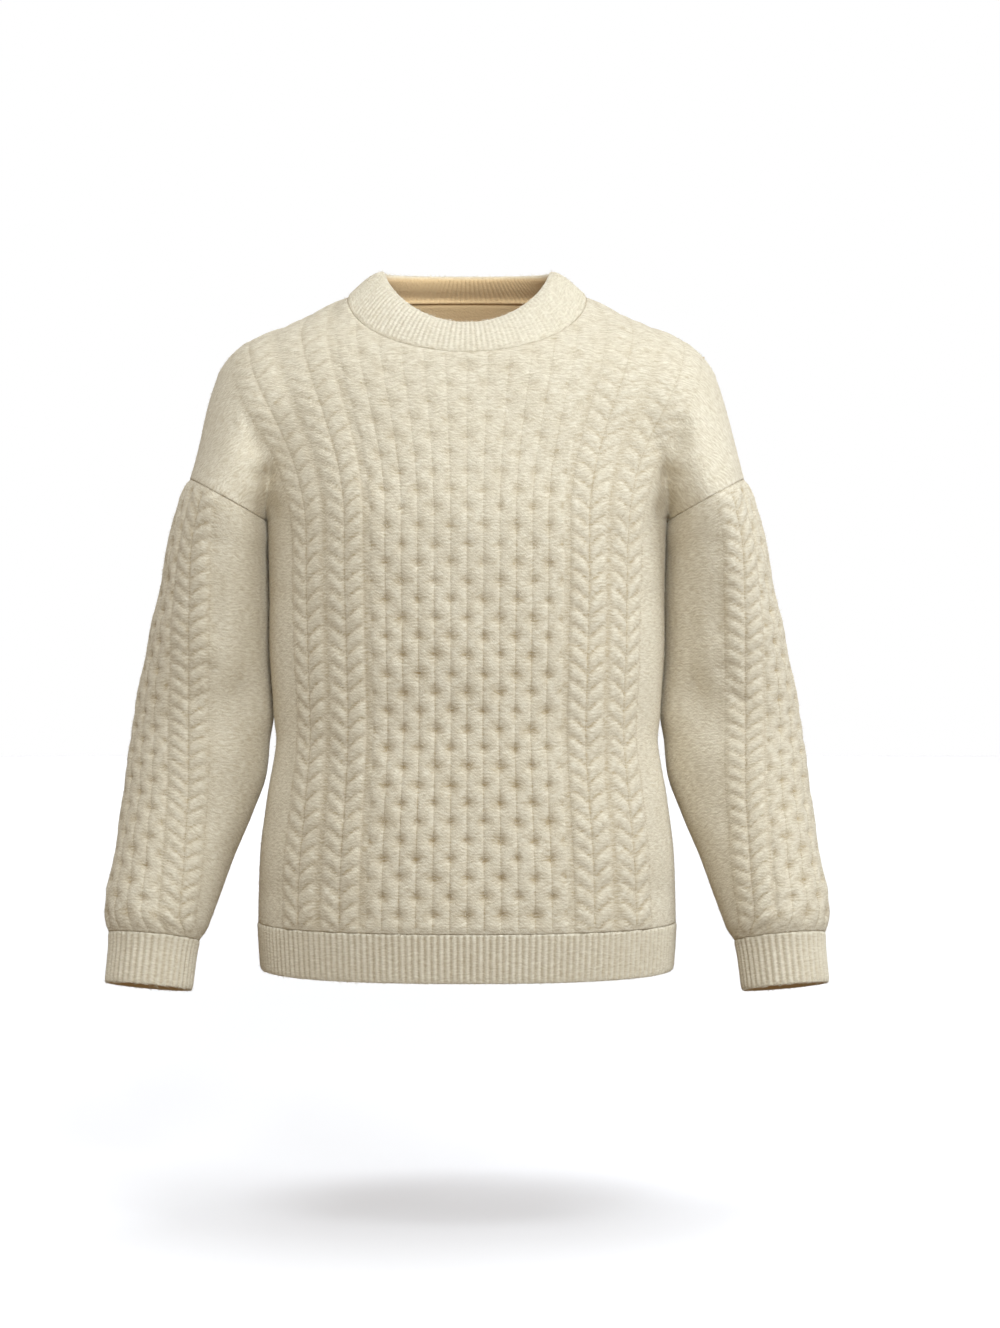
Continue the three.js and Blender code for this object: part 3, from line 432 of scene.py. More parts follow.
def wall_mesh(name, outer, inner, uv, deep, closed, mirror=False, free=()):
    """A closed wall from grids of outer and inner points. The inner side keeps every other row and column.
    The inner side's painted warm bounce light fades in over the rows named in free, from a free edge."""
    m, n = outer.shape[:2]
    inner = inner[::2, ::2]
    inside_bounce = np.full(inner.shape[:2], PAINTED_BOUNCE_MARK)
    for k, share in zip(free, (0, 0.3, 0.7)):
        inside_bounce[k] = PAINTED_BOUNCE_MARK * share
    near, far = np.arange(m * n).reshape(m, n), m * n + np.arange(inner.shape[0] * inner.shape[1])
    far = far.reshape(inner.shape[:2])
    if closed:
        near = np.concatenate((near, near[:, :1]), axis=1)
        far = np.concatenate((far, far[:, :1]), axis=1)
    quads = np.stack((near[:-1, :-1], near[:-1, 1:], near[1:, 1:], near[1:, :-1]), axis=-1).reshape(-1, 4)
    u, v = uv
    uv_grid = np.stack((u, v), axis=-1)
    uq = np.stack((uv_grid[:-1, :-1], uv_grid[:-1, 1:], uv_grid[1:, 1:], uv_grid[1:, :-1]), axis=2).reshape(-1, 2)
    back = np.stack((far[:-1, :-1], far[1:, :-1], far[1:, 1:], far[:-1, 1:]), axis=-1).reshape(-1, 4)
    ug = uv_grid[::2, ::2]
    ub = np.stack((ug[:-1, :-1], ug[1:, :-1], ug[1:, 1:], ug[:-1, 1:]), axis=2).reshape(-1, 2)
    if closed:
        loops = [(near[0], far[0]), (near[-1][::-1], far[-1][::-1])]
    else:
        ring = lambda g: np.concatenate((g[0], g[1:, -1], g[-1, -2::-1], g[-2::-1, 0]))
        loops = [(ring(near), ring(far))]
    rims = []
    for a, b in loops:
        i = np.arange(len(b) - 1)
        rims.append(np.stack((a[2 * i + 1], a[2 * i], b[i]), axis=-1))
        rims.append(np.stack((b[i + 1], a[2 * i + 1], b[i]), axis=-1))
        rims.append(np.stack((a[2 * i + 2], a[2 * i + 1], b[i + 1]), axis=-1))
    rims = np.concatenate(rims)
    points = np.concatenate((outer.reshape(-1, 3), inner.reshape(-1, 3))) * MM
    if mirror:
        points = points * (-1, 1, 1)
    vert_uv = np.concatenate((uv_grid[:, :n].reshape(-1, 2), ug[:, :inner.shape[1]].reshape(-1, 2)))
    ur = vert_uv[rims.ravel()]
    a, b, c, d = (points[quads[:, k]] for k in range(4))
    volume = (np.einsum("ij,ij->i", a, np.cross(b, c)) + np.einsum("ij,ij->i", a, np.cross(c, d))).sum()
    shade = np.concatenate((deep.ravel(), inside_bounce.ravel()))
    if volume < 0:
        quads, back, rims = quads[:, ::-1], back[:, ::-1], rims[:, ::-1]
        uq = uq.reshape(-1, 4, 2)[:, ::-1].reshape(-1, 2)
        ub = ub.reshape(-1, 4, 2)[:, ::-1].reshape(-1, 2)
        ur = ur.reshape(-1, 3, 2)[:, ::-1].reshape(-1, 2)
    corners = np.concatenate((quads.ravel(), back.ravel(), rims.ravel()))
    sizes = np.concatenate((np.full(len(quads) + len(back), 4), np.full(len(rims), 3)))
    return mesh_object(name, points, corners, sizes, np.concatenate((uq, ub, ur)), shade)


def mesh_object(name, points, corners, sizes, uvs, shade):
    """A smooth shaded mesh object at the origin, from flat arrays."""
    mesh = bpy.data.meshes.new(name)
    mesh.vertices.add(len(points))
    mesh.vertices.foreach_set("co", points.astype(np.float32).ravel())
    mesh.loops.add(len(corners))
    mesh.loops.foreach_set("vertex_index", corners.astype(np.int32))
    mesh.polygons.add(len(sizes))
    starts = np.concatenate(([0], np.cumsum(sizes)[:-1]))
    mesh.polygons.foreach_set("loop_start", starts.astype(np.int32))
    mesh.polygons.foreach_set("use_smooth", sizes == 4)
    layer = mesh.uv_layers.new(name="Stitches")
    layer.uv.foreach_set("vector", (uvs * MM).astype(np.float32).ravel())
    # The deep attribute carries the painted shade, and the inside's mark for painted warm bounce light
    deep = mesh.attributes.new("deep", "FLOAT", "POINT")
    deep.data.foreach_set("value", shade.astype(np.float32))
    mesh.update(calc_edges=True)
    mesh.validate()
    made = bpy.data.objects.new(name, mesh)
    bpy.context.scene.collection.objects.link(made)
    return made


def grid_normals(points, closed):
    """Outward directions of a grid of points, from its neighbours."""
    if closed:
        around = np.roll(points, -1, axis=1) - np.roll(points, 1, axis=1)
    else:
        around = np.gradient(points, axis=1)
    up = np.gradient(points, axis=0)
    return unit(np.cross(around, up))


def add_fuzz(name, outer, normal, count, rng, reach, mirror=False):
    """Loose fibres that lie across the brushed wool or stand off it, as one mesh of thin bent blades."""
    m, n = outer.shape[:2]
    r = rng.random((count, 2)) * (m - 2, n - 2)
    i = r.astype(int)
    w = (r - i)[:, :, None]
    grid = lambda g: (
        g[i[:, 0], i[:, 1]] * (1 - w[:, 0]) * (1 - w[:, 1]) + g[i[:, 0] + 1, i[:, 1]] * w[:, 0] * (1 - w[:, 1])
        + g[i[:, 0], i[:, 1] + 1] * (1 - w[:, 0]) * w[:, 1] + g[i[:, 0] + 1, i[:, 1] + 1] * w[:, 0] * w[:, 1]
    )
    root, out = grid(outer), unit(grid(normal))
    brushed = unit(outer[i[:, 0], i[:, 1] + 1] - outer[i[:, 0], i[:, 1]]) * np.sign(rng.random((count, 1)) - 0.5)
    flat = brushed + rng.normal(size=(count, 3)) * 0.42
    flat = unit(flat - out * (flat * out).sum(axis=1, keepdims=True))
    length = reach * (0.5 + 0.9 * rng.random((count, 1)) ** 2)
    lift = 0.12 + 0.75 * rng.random((count, 1)) ** 3
    mid = root + unit(out * lift + flat) * length * 0.5 + out * 0.12
    bent = flat + rng.normal(size=(count, 3)) * 0.3 + out * (lift * 0.6 - 0.12)
    tip = mid + unit(bent) * length * 0.5
    wide = unit(np.cross(flat, out)) * (0.09 + 0.07 * rng.random((count, 1)))
    points = np.stack((root - out * 0.25, mid + wide, tip, mid - wide), axis=1).reshape(-1, 3) * MM
    if mirror:
        points = points * (-1, 1, 1)
    corners = np.arange(4 * count)
    sizes = np.full(count, 4)
    return mesh_object(name, points, corners, sizes, np.zeros((len(corners), 2)), np.zeros(len(points)))


# The pieces' grids

def panel_grid(side):
    """Rows and columns of a panel, hem seam up and left to right: points, stitch arcs and rows, seam nearness."""
    cables = (INNER_CABLE, OUTER_CABLE)
    stops = stops_of(HONEY_LINES, cables, PLAIN_EDGE)
    stops = np.unique(np.concatenate((stops, (CORNER_LINE,))))
    z_path, arc_path = column_paths(side, stops)
    plain_z, plain_arc = z_path[-1], arc_path[-1]
    plain_rows = plain_arc[-1] / ROW
    armpit_row = np.interp(ARMPIT, plain_z, plain_arc) / ROW
    below, above = 176, 104
    rows = np.concatenate((
        np.linspace(0, armpit_row, below + 1),
        np.linspace(armpit_row, plain_rows, above + 1)[1:],
    ))
    share_up = rows / plain_rows
    row = share_up[None, :] * (arc_path[:, -1:] / ROW)
    z = each_interp(row * ROW, arc_path, z_path)
    reach = curve(TRUNK, "spread", z) * stops[:, None]
    x = x_at_arc(side, z, reach).reshape(z.shape)
    over = stops > CORNER_LINE + 1e-6
    x[over, -1] = edge(z[over, -1])
    corner = np.abs(stops - CORNER_LINE) < 1e-6
    x[corner, -1], z[corner, -1] = NECK["half"], 0
    band = body_point(side, x, z)
    band[over | corner, -1, 1] = 0
    s_band = np.broadcast_to(stops[:, None], row.shape)

    border = border_of(side, plain_z[-1])
    z_plain = np.interp(rows * ROW, plain_arc, plain_z)
    start_x = x_at_arc(side, z_plain, curve(TRUNK, "spread", z_plain) * PLAIN_EDGE)
    side_arc = np.interp(z_plain, border["z"], border["arc"])
    low = rows <= armpit_row + 1e-9
    w = np.clip((rows - armpit_row) / (plain_rows - armpit_row), 0, 1)
    at_arc = np.where(low, np.minimum(side_arc, border["armpit"]), border["armpit"] + (border["arc"][-1] - border["armpit"]) * w)
    at_arc[below] = border["armpit"]
    end_x, end_z = np.interp(at_arc, border["arc"], border["x"]), np.interp(at_arc, border["arc"], border["z"])
    walk = np.linspace(0, 1, 61)
    path_z = z_plain[:, None] + (end_z - z_plain)[:, None] * walk[None, :]
    trunk = curve(TRUNK, "half", path_z)
    wide = np.where(low[:, None] | (path_z > ARM_END), trunk, np.maximum(trunk, curve(ARM, "outer", path_z)))
    first = np.arcsin(np.clip(start_x / wide[:, 0], -1, 1))
    last = np.arcsin(np.clip(end_x / wide[:, -1], -1, 1))
    path_x = wide * np.sin(first[:, None] + (last - first)[:, None] * walk[None, :])
    path = body_point(side, path_x, path_z)
    step = np.linalg.norm(np.diff(path, axis=1), axis=-1)
    arcs = np.concatenate((np.zeros((len(rows), 1)), np.cumsum(step, axis=1)), axis=1)
    plain_columns = 33
    shares = np.linspace(0, 1, plain_columns + 1)[1:]
    want = arcs[:, -1:] * shares[None, :]
    px = each_interp(want, arcs, path_x)
    pz = each_interp(want, arcs, path_z)
    plain = body_point(side, px, pz)
    on_ring = (at_arc > border["armpit"] - 1e-6) & (at_arc < border["ring_end"])
    plain[~on_ring, -1, 1] = side * SEAM_GAP / 2
    plain[on_ring, -1] -= RING_ALONG * SEAM_GAP / 2
    s_plain = PLAIN_EDGE + want
    row_plain = np.broadcast_to(rows[:, None], want.shape)
    points = np.concatenate((band.transpose(1, 0, 2), plain), axis=1)
    s = np.concatenate((s_band.T, s_plain), axis=1)
    row_all = np.concatenate((row.T, row_plain), axis=1)
    to_ring = np.full(points.shape[:2], 99.0)
    seam = points[on_ring, -1]
    for r in range(below, len(rows)):
        near = np.linalg.norm(points[r, stops.size:, None, :] - seam[None, ::3, :], axis=-1).min(axis=1)
        to_ring[r, stops.size:] = near
    for r in range(below - 24, below):
        near = np.linalg.norm(points[r, stops.size:, None, :] - seam[None, ::3, :], axis=-1).min(axis=1)
        to_ring[r, stops.size:] = near
    left = points[:, :0:-1] * (-1, 1, 1)
    points = np.concatenate((left, points), axis=1)
    s = np.concatenate((-s[:, :0:-1], s), axis=1)
    row_all = np.concatenate((row_all[:, :0:-1], row_all), axis=1)
    to_ring = np.concatenate((to_ring[:, :0:-1], to_ring), axis=1)
    top = (arc_path[:, -1] / ROW)
    top = np.concatenate((top, np.full(plain_columns, plain_rows)))
    top = np.concatenate((top[:0:-1], top))
    to_top = (top[None, :] - row_all) * ROW
    return points, s, row_all, to_top, to_ring


def sleeve_point(z, angle):
    """The sleeve's form at a section z and an angle round it, 0 outside and a quarter turn in front."""
    tilt = np.radians(curve(SLEEVE, "tilt", z))
    lean = np.radians(curve(SLEEVE, "lean", z))
    c, s = np.cos(angle), np.sin(angle)
    half, deep = curve(SLEEVE, "half", z), curve(SLEEVE, "deep", z)
    x = curve(SLEEVE, "x", z) + half * c * np.cos(tilt)
    y = curve(SLEEVE, "y", z) - deep * s * np.cos(lean)
    up = z + half * c * np.sin(tilt) + deep * s * np.sin(lean)
    section = stack(x, y, up)
    fade = np.clip(1 - (SLEEVE_TOP["z"] - z) / RING_FADE, 0, 1)
    ring_x = (RING_INNER + RING_OUTER) / 2 + (RING_OUTER - RING_INNER) / 2 * c
    ring_z = ARMPIT + (ring_x - RING_INNER) * RING_SLOPE
    level = np.abs(s) < 1e-6
    front = -depth(-1, ring_x, ring_z)
    back = depth(1, ring_x, ring_z)
    ring = stack(ring_x, np.where(level, 0, np.where(s >= 0, front, back)), ring_z)
    slope = math.radians(SLEEVE_TOP["tilt"])
    first = stack(
        SLEEVE_TOP["x"] + SLEEVE_TOP["half"] * c * math.cos(slope),
        SLEEVE_TOP["y"] - SLEEVE_TOP["deep"] * s,
        SLEEVE_TOP["z"] + SLEEVE_TOP["half"] * c * math.sin(slope),
    )
    return section + (ring - first) * smooth(fade)[..., None]


def sleeve_grid():
    """Rows and columns of the right sleeve, cuff seam up and round: points, stitch arcs and rows."""
    stops = stops_of(SLEEVE_HONEY, (SLEEVE_CABLE,), SLEEVE_PLAIN)
    rows = 197
    z = np.linspace(SLEEVE_END["z"], SLEEVE_TOP["z"], rows)
    line = stack(curve(SLEEVE, "x", z), curve(SLEEVE, "y", z), z)
    length = np.concatenate(([0], np.cumsum(np.linalg.norm(np.diff(line, axis=0), axis=-1))))
    even = np.linspace(0, length[-1], rows)
    z = np.interp(even, length, z)
    turn = curve(SLEEVE, "turn", z)
    walk = np.linspace(-math.pi, math.pi, 361)
    ring = sleeve_point(z[:, None], walk[None, :])
    arcs = np.concatenate((np.zeros((rows, 1)), np.cumsum(np.linalg.norm(np.diff(ring, axis=1), axis=-1), axis=1)), axis=1)
    arcs = arcs - arcs[:, 180:181]
    s = np.concatenate((-stops[:0:-1], stops))
    want = s[None, :] + turn[:, None]
    plain = 25
    share = np.linspace(0, 1, plain + 2)[1:-1]
    first, last = want[:, -1:], want[:, :1] + (arcs[:, -1:] - arcs[:, :1])
    extra = first + (last - first) * share[None, :]
    whole = arcs[:, -1:] - arcs[:, :1]
    all_arcs = np.concatenate((want, extra), axis=1)
    wrapped = np.where(all_arcs > arcs[:, -1:], all_arcs - whole, all_arcs)
    angle = each_interp(wrapped, arcs, np.broadcast_to(walk, arcs.shape))
    points = sleeve_point(z[:, None], angle)
    plain_s = SLEEVE_PLAIN + (extra - first)
    s_all = np.concatenate((np.broadcast_to(s, want.shape), plain_s), axis=1)
    row = np.broadcast_to((even / SLEEVE_ROW)[:, None], s_all.shape)
    period = s_all[:, :1] + whole
    return points, s_all, row, (length[-1] - even)[:, None] + 0 * s_all, period


def rim_round(d, radius, reach):
    """How far a wall's face draws in near a free edge, d millimetres away, so that the edge is round."""
    inside = np.clip(1 - d / reach, 0, 1)
    return radius * (1 - np.sqrt(np.maximum(1 - inside * inside, 0)))


def rib_wave(turn, ribs):
    """Height of the ribs round a band, and how strongly the channels between them take painted shade."""
    wave = 0.5 + 0.5 * np.cos(2 * math.pi * ribs * turn)
    return wave ** 0.7, (1 - wave) ** 3


def rib_stops(length, radius, rows):
    """Distances down a band, closer at its round free edge; 0 is the seam."""
    inner = np.linspace(0, length - radius, rows - 5)
    lip = length - radius * np.array((0.62, 0.34, 0.15, 0.04, 0.0))
    return np.concatenate((inner, lip))


def even_turns():
    """The angles round the hem's squarish section, and the share of the way round at each."""
    angle = np.linspace(0, 2 * math.pi, 4001)
    s, c = np.sin(angle), np.cos(angle)
    power = 2 / float(curve(TRUNK, "square", HEM_SEAM))
    deep = np.where(c >= 0, curve(TRUNK, "front", HEM_SEAM), curve(TRUNK, "back", HEM_SEAM))
    x = curve(TRUNK, "half", HEM_SEAM) * np.sign(s) * np.abs(s) ** power
    y = deep * np.sign(c) * np.abs(c) ** power
    way = np.concatenate(([0], np.cumsum(np.hypot(np.diff(x), np.diff(y)))))
    return angle, way / way[-1]


HEM_ANGLES, HEM_TURNS = even_turns()


def hem_form(turn, z):
    """The hem band's surface and its outward direction."""
    share = (z - HEM_EDGE) / (HEM_SEAM - SEAM_GAP / 2 - HEM_EDGE)
    draw = HEM_IN * (1 - share)
    half = curve(TRUNK, "half", z) - draw
    angle = np.interp(turn, HEM_TURNS, HEM_ANGLES)
    s, c = np.sin(angle), np.cos(angle)
    front = curve(TRUNK, "front", z)
    deep = np.where(c >= 0, front, curve(TRUNK, "back", z)) - draw
    square = curve(TRUNK, "square", z)
    power = 2 / square
    side = np.where(c >= 0, -1, 1)
    x = half * np.sign(s) * np.abs(s) ** power
    y = side * deep * np.abs(c) ** power
    nx = np.sign(s) * np.abs(s) ** (2 - power) / half
    ny = side * np.abs(c) ** (2 - power) / deep
    return stack(x, y, z), unit(stack(nx, ny, 0 * nx))


CUFF_TILT = math.radians(SLEEVE_END["tilt"])
CUFF_LEAN = math.radians(SLEEVE_END["lean"])
CUFF_OUT = np.array((math.cos(CUFF_TILT), 0, math.sin(CUFF_TILT)))
CUFF_FRONT = np.array((0, -math.cos(CUFF_LEAN), math.sin(CUFF_LEAN)))
CUFF_AXIS = unit(np.cross(CUFF_OUT, CUFF_FRONT))
CUFF_AXIS = CUFF_AXIS * (-1 if CUFF_AXIS[2] > 0 else 1)
CUFF_START = np.array((SLEEVE_END["x"], SLEEVE_END["y"], SLEEVE_END["z"]), float)


def cuff_form(turn, down):
    """The right cuff's surface and its outward direction."""
    at = down / CUFF_LENGTH
    half, deep = curve(CUFF_ENDS, "half", at), curve(CUFF_ENDS, "deep", at)
    angle = turn * 2 * math.pi
    c, s = np.cos(angle)[..., None], np.sin(angle)[..., None]
    p = CUFF_START + CUFF_AXIS * (down + SEAM_GAP / 2)[..., None]
    p = p + CUFF_OUT * half[..., None] * c + CUFF_FRONT * deep[..., None] * s
    normal = unit(CUFF_OUT * c / half[..., None] + CUFF_FRONT * s / deep[..., None])
    return p, normal


def rim_point(side, angle):
    """The neckband's rim at an angle from the middle of the front or back."""
    c, s = np.cos(angle), np.sin(angle)
    front = side < 0
    y = side * np.where(front, RIM["front"], RIM["back"]) * c
    w = np.where(front, np.maximum(c, 0) ** RIM_DIP, c * c)
    low = np.where(front, -RIM["frontDrop"], RIM["backRise"])
    return stack(RIM["half"] * s, y, RIM["sideRise"] + (low - RIM["sideRise"]) * w)


def neck_seam(side, angle):
    """The neck seam's point, the direction into the band and the wall's direction there."""
    x = NECK["half"] * np.sin(angle)
    w = np.sqrt(np.maximum(1 - (x / NECK["half"]) ** 2, 0))
    z = np.where(side < 0, -NECK["frontDrop"] * w, NECK["backRise"] * w * w)
    y = np.where(side < 0, -depth(-1, x, z), depth(1, x, z))
    y = np.where(np.abs(x) > NECK["half"] - 1e-6, 0, y)
    point = stack(x, y, z)
    along = unit(rim_point(side, angle) - point)
    share = smooth((NECK["half"] - np.abs(x)) / NECK_TURN)[..., None]
    ridge = stack(np.sign(x) * RIDGE_NORMAL[0], 0 * x, RIDGE_NORMAL[2])
    near = np.where(side[..., None] < 0, body_normal(-1, x * 0.995, z - 1), body_normal(1, x * 0.995, z - 1))
    normal = unit(ridge * (1 - share) + near * share)
    normal = unit(normal - along * (normal * along).sum(axis=-1, keepdims=True))
    return point, along, normal


def band_form(turn, share):
    """The neckband's surface between the seam (share 0) and its rim (share 1), and its outward direction."""
    angle = turn * 2 * math.pi
    side = np.where(np.cos(angle) >= 0, -1, 1)
    off = np.arcsin(np.clip(np.sin(angle), -1, 1))
    point, along, seam_normal = neck_seam(side, off)
    base = point + along * NECK_GAP / 2
    rim = rim_point(side, off)
    p = base + (rim - base) * share[..., None]
    out = unit(stack(np.sin(off) / RIM["half"], side * np.cos(off) / RIM["front"], 0 * off))
    out = unit(out - along * (out * along).sum(axis=-1, keepdims=True))
    w = smooth(share * 3)[..., None]
    normal = unit(seam_normal * (1 - w) + out * w)
    bulge = (np.sin(np.clip(share, 0, 1) * math.pi) * BAND_BULGE)[..., None]
    return p + normal * bulge, normal


def wobble(points, scale, seed):
    """Soft uneven swelling of hand-knit cloth, from a few crossing waves; about -1 to 1."""
    rng = np.random.default_rng(seed)
    total = np.zeros(points.shape[:-1])
    for _ in range(7):
        way = unit(rng.normal(size=3)) * 2 * math.pi / (scale * (0.7 + 0.8 * rng.random()))
        total = total + np.sin(points @ way + rng.random() * 6.3)
    return total / 4


def fold(across, up, rows):
    """Height of the soft main folds over the plain cloth, from the table's lines across and up the cloth."""
    total = np.zeros(np.broadcast(across, up).shape)
    for a0, u0, a1, u1, width, high in rows:
        way = np.array((a1 - a0, u1 - u0))
        share = ((across - a0) * way[0] + (up - u0) * way[1]) / (way @ way)
        share = np.clip(share, 0, 1)
        away = np.hypot(across - a0 - share * way[0], up - u0 - share * way[1])
        total = total + high * bell(away, width) * (0.85 + 0.3 * np.sin(5 * share + a0))
    return total


# Main folds of each half of a panel: from x and z to x and z, how wide, and how high (a trough below 0)
PANEL_FOLDS = [
    (207, -138, 200, -176, 13, -9),
    (197, -184, 191, -214, 11, -6),
    (222, -128, 206, -176, 4, 1.4),
    (178, -300, 120, -340, 14, -2.2),
    (184, -420, 128, -452, 18, -2.5),
    (186, -500, 120, -520, 16, 1.8),
    (196, -590, 130, -578, 12, -2.2),
]
# Main folds of a sleeve, front and back alike: from arc and z to arc and z, how wide, how high
SLEEVE_FOLDS = [
    (166, -268, 158, -345, 20, -5),
    (SLEEVE_PLAIN + 5, -250, SLEEVE_PLAIN + 5, -335, 8, -3.2),
    (SLEEVE_PLAIN - 2, -372, SLEEVE_PLAIN - 14, -402, 8, -3.6),
    (SLEEVE_PLAIN + 20, -402, SLEEVE_PLAIN + 66, -376, 20, -7.5),
    (SLEEVE_PLAIN + 8, -452, SLEEVE_PLAIN + 60, -446, 22, 2.2),
    (SLEEVE_PLAIN + 4, -520, SLEEVE_PLAIN + 44, -500, 16, -2.2),
    (10, -600, 70, -596, 9, -1.8),
]


# Materials

def to_linear(hex_colour):
    """An sRGB hex colour as linear red, green, blue and alpha."""
    parts = [int(hex_colour[i:i + 2], 16) / 255 for i in (1, 3, 5)]
    return [p / 12.92 if p <= 0.04045 else ((p + 0.055) / 1.055) ** 2.4 for p in parts] + [1.0]


def add_node(tree, kind, settings=None, inputs=None, links=None):
    """Adds one node with its settings, input values and links from other nodes' outputs."""
    node = tree.nodes.new(kind)
    for key, value in (settings or {}).items():
        setattr(node, key, value)
    for key, value in (inputs or {}).items():
        node.inputs[key].default_value = value
    for key, (source, output) in (links or {}).items():
        tree.links.new(source.outputs[output], node.inputs[key])
    return node


def wool_material(name, light, shade, fleck_and_shade, inside, fleck, stitch):
    """Brushed wool: matt, soft at the edges, with painted shade, a little darker and warmer, between the stitches, and
    painted warm bounce light on the inside.
    """
    material = bpy.data.materials.new(name)
    material.use_nodes = True
    tree = material.node_tree
    tree.nodes.clear()
    uv = add_node(tree, "ShaderNodeUVMap", {"uv_map": "Stitches"})
    place = add_node(tree, "ShaderNodeTexCoord")
    # The brushing drifts 4 mm up and down over 15 mm
    drift = add_node(tree, "ShaderNodeTexNoise", None, {"Scale": 65.0, "Detail": 1.0}, {"Vector": (place, "Object")})
    bent = add_node(tree, "ShaderNodeVectorMath", {"operation": "MULTIPLY_ADD"}, {1: (0.0, 0.008, 0.0)}, {
        0: (drift, "Color"), 2: (uv, "UV")})
    # Brushed fibres lie across the rows: tufts 7 mm long and under 2 mm high
    across = add_node(tree, "ShaderNodeMapping", None, {"Scale": (1.0, 4.2, 1.0)}, {"Vector": (bent, "Vector")})
    fibres = add_node(tree, "ShaderNodeTexNoise", None, {"Scale": 140.0, "Detail": 4.0, "Roughness": 0.7}, {
        "Vector": (across, "Vector")})
    # Pilled grains of 2.5 mm
    curls = add_node(tree, "ShaderNodeTexNoise", None, {"Scale": 400.0, "Detail": 2.0, "Roughness": 0.6}, {
        "Vector": (place, "Object")})
    # Uneven brushing over 30 mm patches
    patches = add_node(tree, "ShaderNodeTexNoise", None, {"Scale": 26.0, "Detail": 3.0, "Roughness": 0.55}, {
        "Vector": (place, "Object")})
    # Stitches 4.4 mm wide and 3.3 mm high, as faint legs under the brushed surface
    split = add_node(tree, "ShaderNodeSeparateXYZ", None, None, {"Vector": (uv, "UV")})
    u_wave = add_node(tree, "ShaderNodeMath", {"operation": "MULTIPLY"}, {1: 2 * math.pi / 0.0044}, {0: (split, "X")})
    u_cos = add_node(tree, "ShaderNodeMath", {"operation": "COSINE"}, None, {0: (u_wave, 0)})
    v_wave = add_node(tree, "ShaderNodeMath", {"operation": "MULTIPLY"}, {1: 2 * math.pi / 0.0033}, {0: (split, "Y")})
    v_turn = add_node(tree, "ShaderNodeMath", {"operation": "MULTIPLY_ADD"}, {1: 1.7}, {0: (u_cos, 0), 2: (v_wave, 0)})
    v_sin = add_node(tree, "ShaderNodeMath", {"operation": "SINE"}, None, {0: (v_turn, 0)})
    legs = add_node(tree, "ShaderNodeMath", {"operation": "MULTIPLY_ADD"}, {1: 0.5, 2: 0.5}, {0: (v_sin, 0)})
    # The deep attribute is painted shade: it darkens the wool towards the hollow colour between the stitches, in the
    # cable valleys and rib channels and along the seams. Its negative values mark the inside for painted warm bounce
    # light.
    deep = add_node(tree, "ShaderNodeAttribute", {"attribute_name": "deep"})
    base = add_node(tree, "ShaderNodeMix", {"data_type": "RGBA"}, {6: to_linear(light), 7: to_linear(shade)}, {
        0: (patches, "Fac")})
    streak = add_node(tree, "ShaderNodeMapRange", None, {1: 0.38, 2: 0.62, 3: 0.0, 4: 1.0}, {0: (fibres, "Fac")})
    faint = add_node(tree, "ShaderNodeMath", {"operation": "MULTIPLY"}, {1: fleck}, {0: (streak, 0)})
    flecked = add_node(tree, "ShaderNodeMix", {"data_type": "RGBA"}, {7: to_linear(fleck_and_shade)}, {
        0: (faint, 0), 6: (base, 2)})
    # Fibres bridge the hollows, so the painted shade there is streaked too
    bridged = add_node(tree, "ShaderNodeMapRange", None, {1: 0.0, 2: 1.0, 3: 0.6, 4: 1.25}, {0: (streak, 0)})
    shaded = add_node(tree, "ShaderNodeMath", {"operation": "MULTIPLY", "use_clamp": True}, None, {
        0: (deep, "Fac"), 1: (bridged, 0)})
    colour = add_node(tree, "ShaderNodeMix", {"data_type": "RGBA"}, {7: to_linear(fleck_and_shade)}, {
        0: (shaded, 0), 6: (flecked, 2)})
    # Painted warm bounce light: the marked inside takes the brighter, warmer inside colour
    bounce_mask = add_node(tree, "ShaderNodeMath", {"operation": "MULTIPLY", "use_clamp": True}, {1: -1.0}, {0: (deep, "Fac")})
    painted_bounce = add_node(tree, "ShaderNodeMix", {"data_type": "RGBA"}, {7: to_linear(inside)}, {
        0: (bounce_mask, 0), 6: (colour, 2)})
    height = add_node(tree, "ShaderNodeMath", {"operation": "MULTIPLY_ADD"}, {1: stitch}, {0: (legs, 0), 2: (fibres, "Fac")})
    all_height = add_node(tree, "ShaderNodeMath", {"operation": "MULTIPLY_ADD"}, {1: 0.7}, {0: (curls, "Fac"), 2: (height, 0)})
    bump = add_node(tree, "ShaderNodeBump", None, {"Strength": 0.48, "Distance": 0.0018}, {"Height": (all_height, 0)})
    shader = add_node(tree, "ShaderNodeBsdfPrincipled", None, {
        "Roughness": 0.95, "IOR": 1.45, "Specular IOR Level": 0.12, "Sheen Weight": 0.35, "Sheen Roughness": 0.55,
        "Sheen Tint": to_linear("#fbf2df"),
    }, {"Base Color": (painted_bounce, 2), "Normal": (bump, "Normal")})
    add_node(tree, "ShaderNodeOutputMaterial", None, None, {"Surface": (shader, "BSDF")})
    return material


def plain_material(name, colour, roughness, sheen=0.0):
    """An even matt surface."""
    material = bpy.data.materials.new(name)
    material.use_nodes = True
    tree = material.node_tree
    tree.nodes.clear()
    shader = add_node(tree, "ShaderNodeBsdfPrincipled", None, {
        "Base Color": to_linear(colour), "Roughness": roughness, "Specular IOR Level": 0.1, "Sheen Weight": sheen,
    })
    add_node(tree, "ShaderNodeOutputMaterial", None, None, {"Surface": (shader, "BSDF")})
    return material


MATERIALS = {}


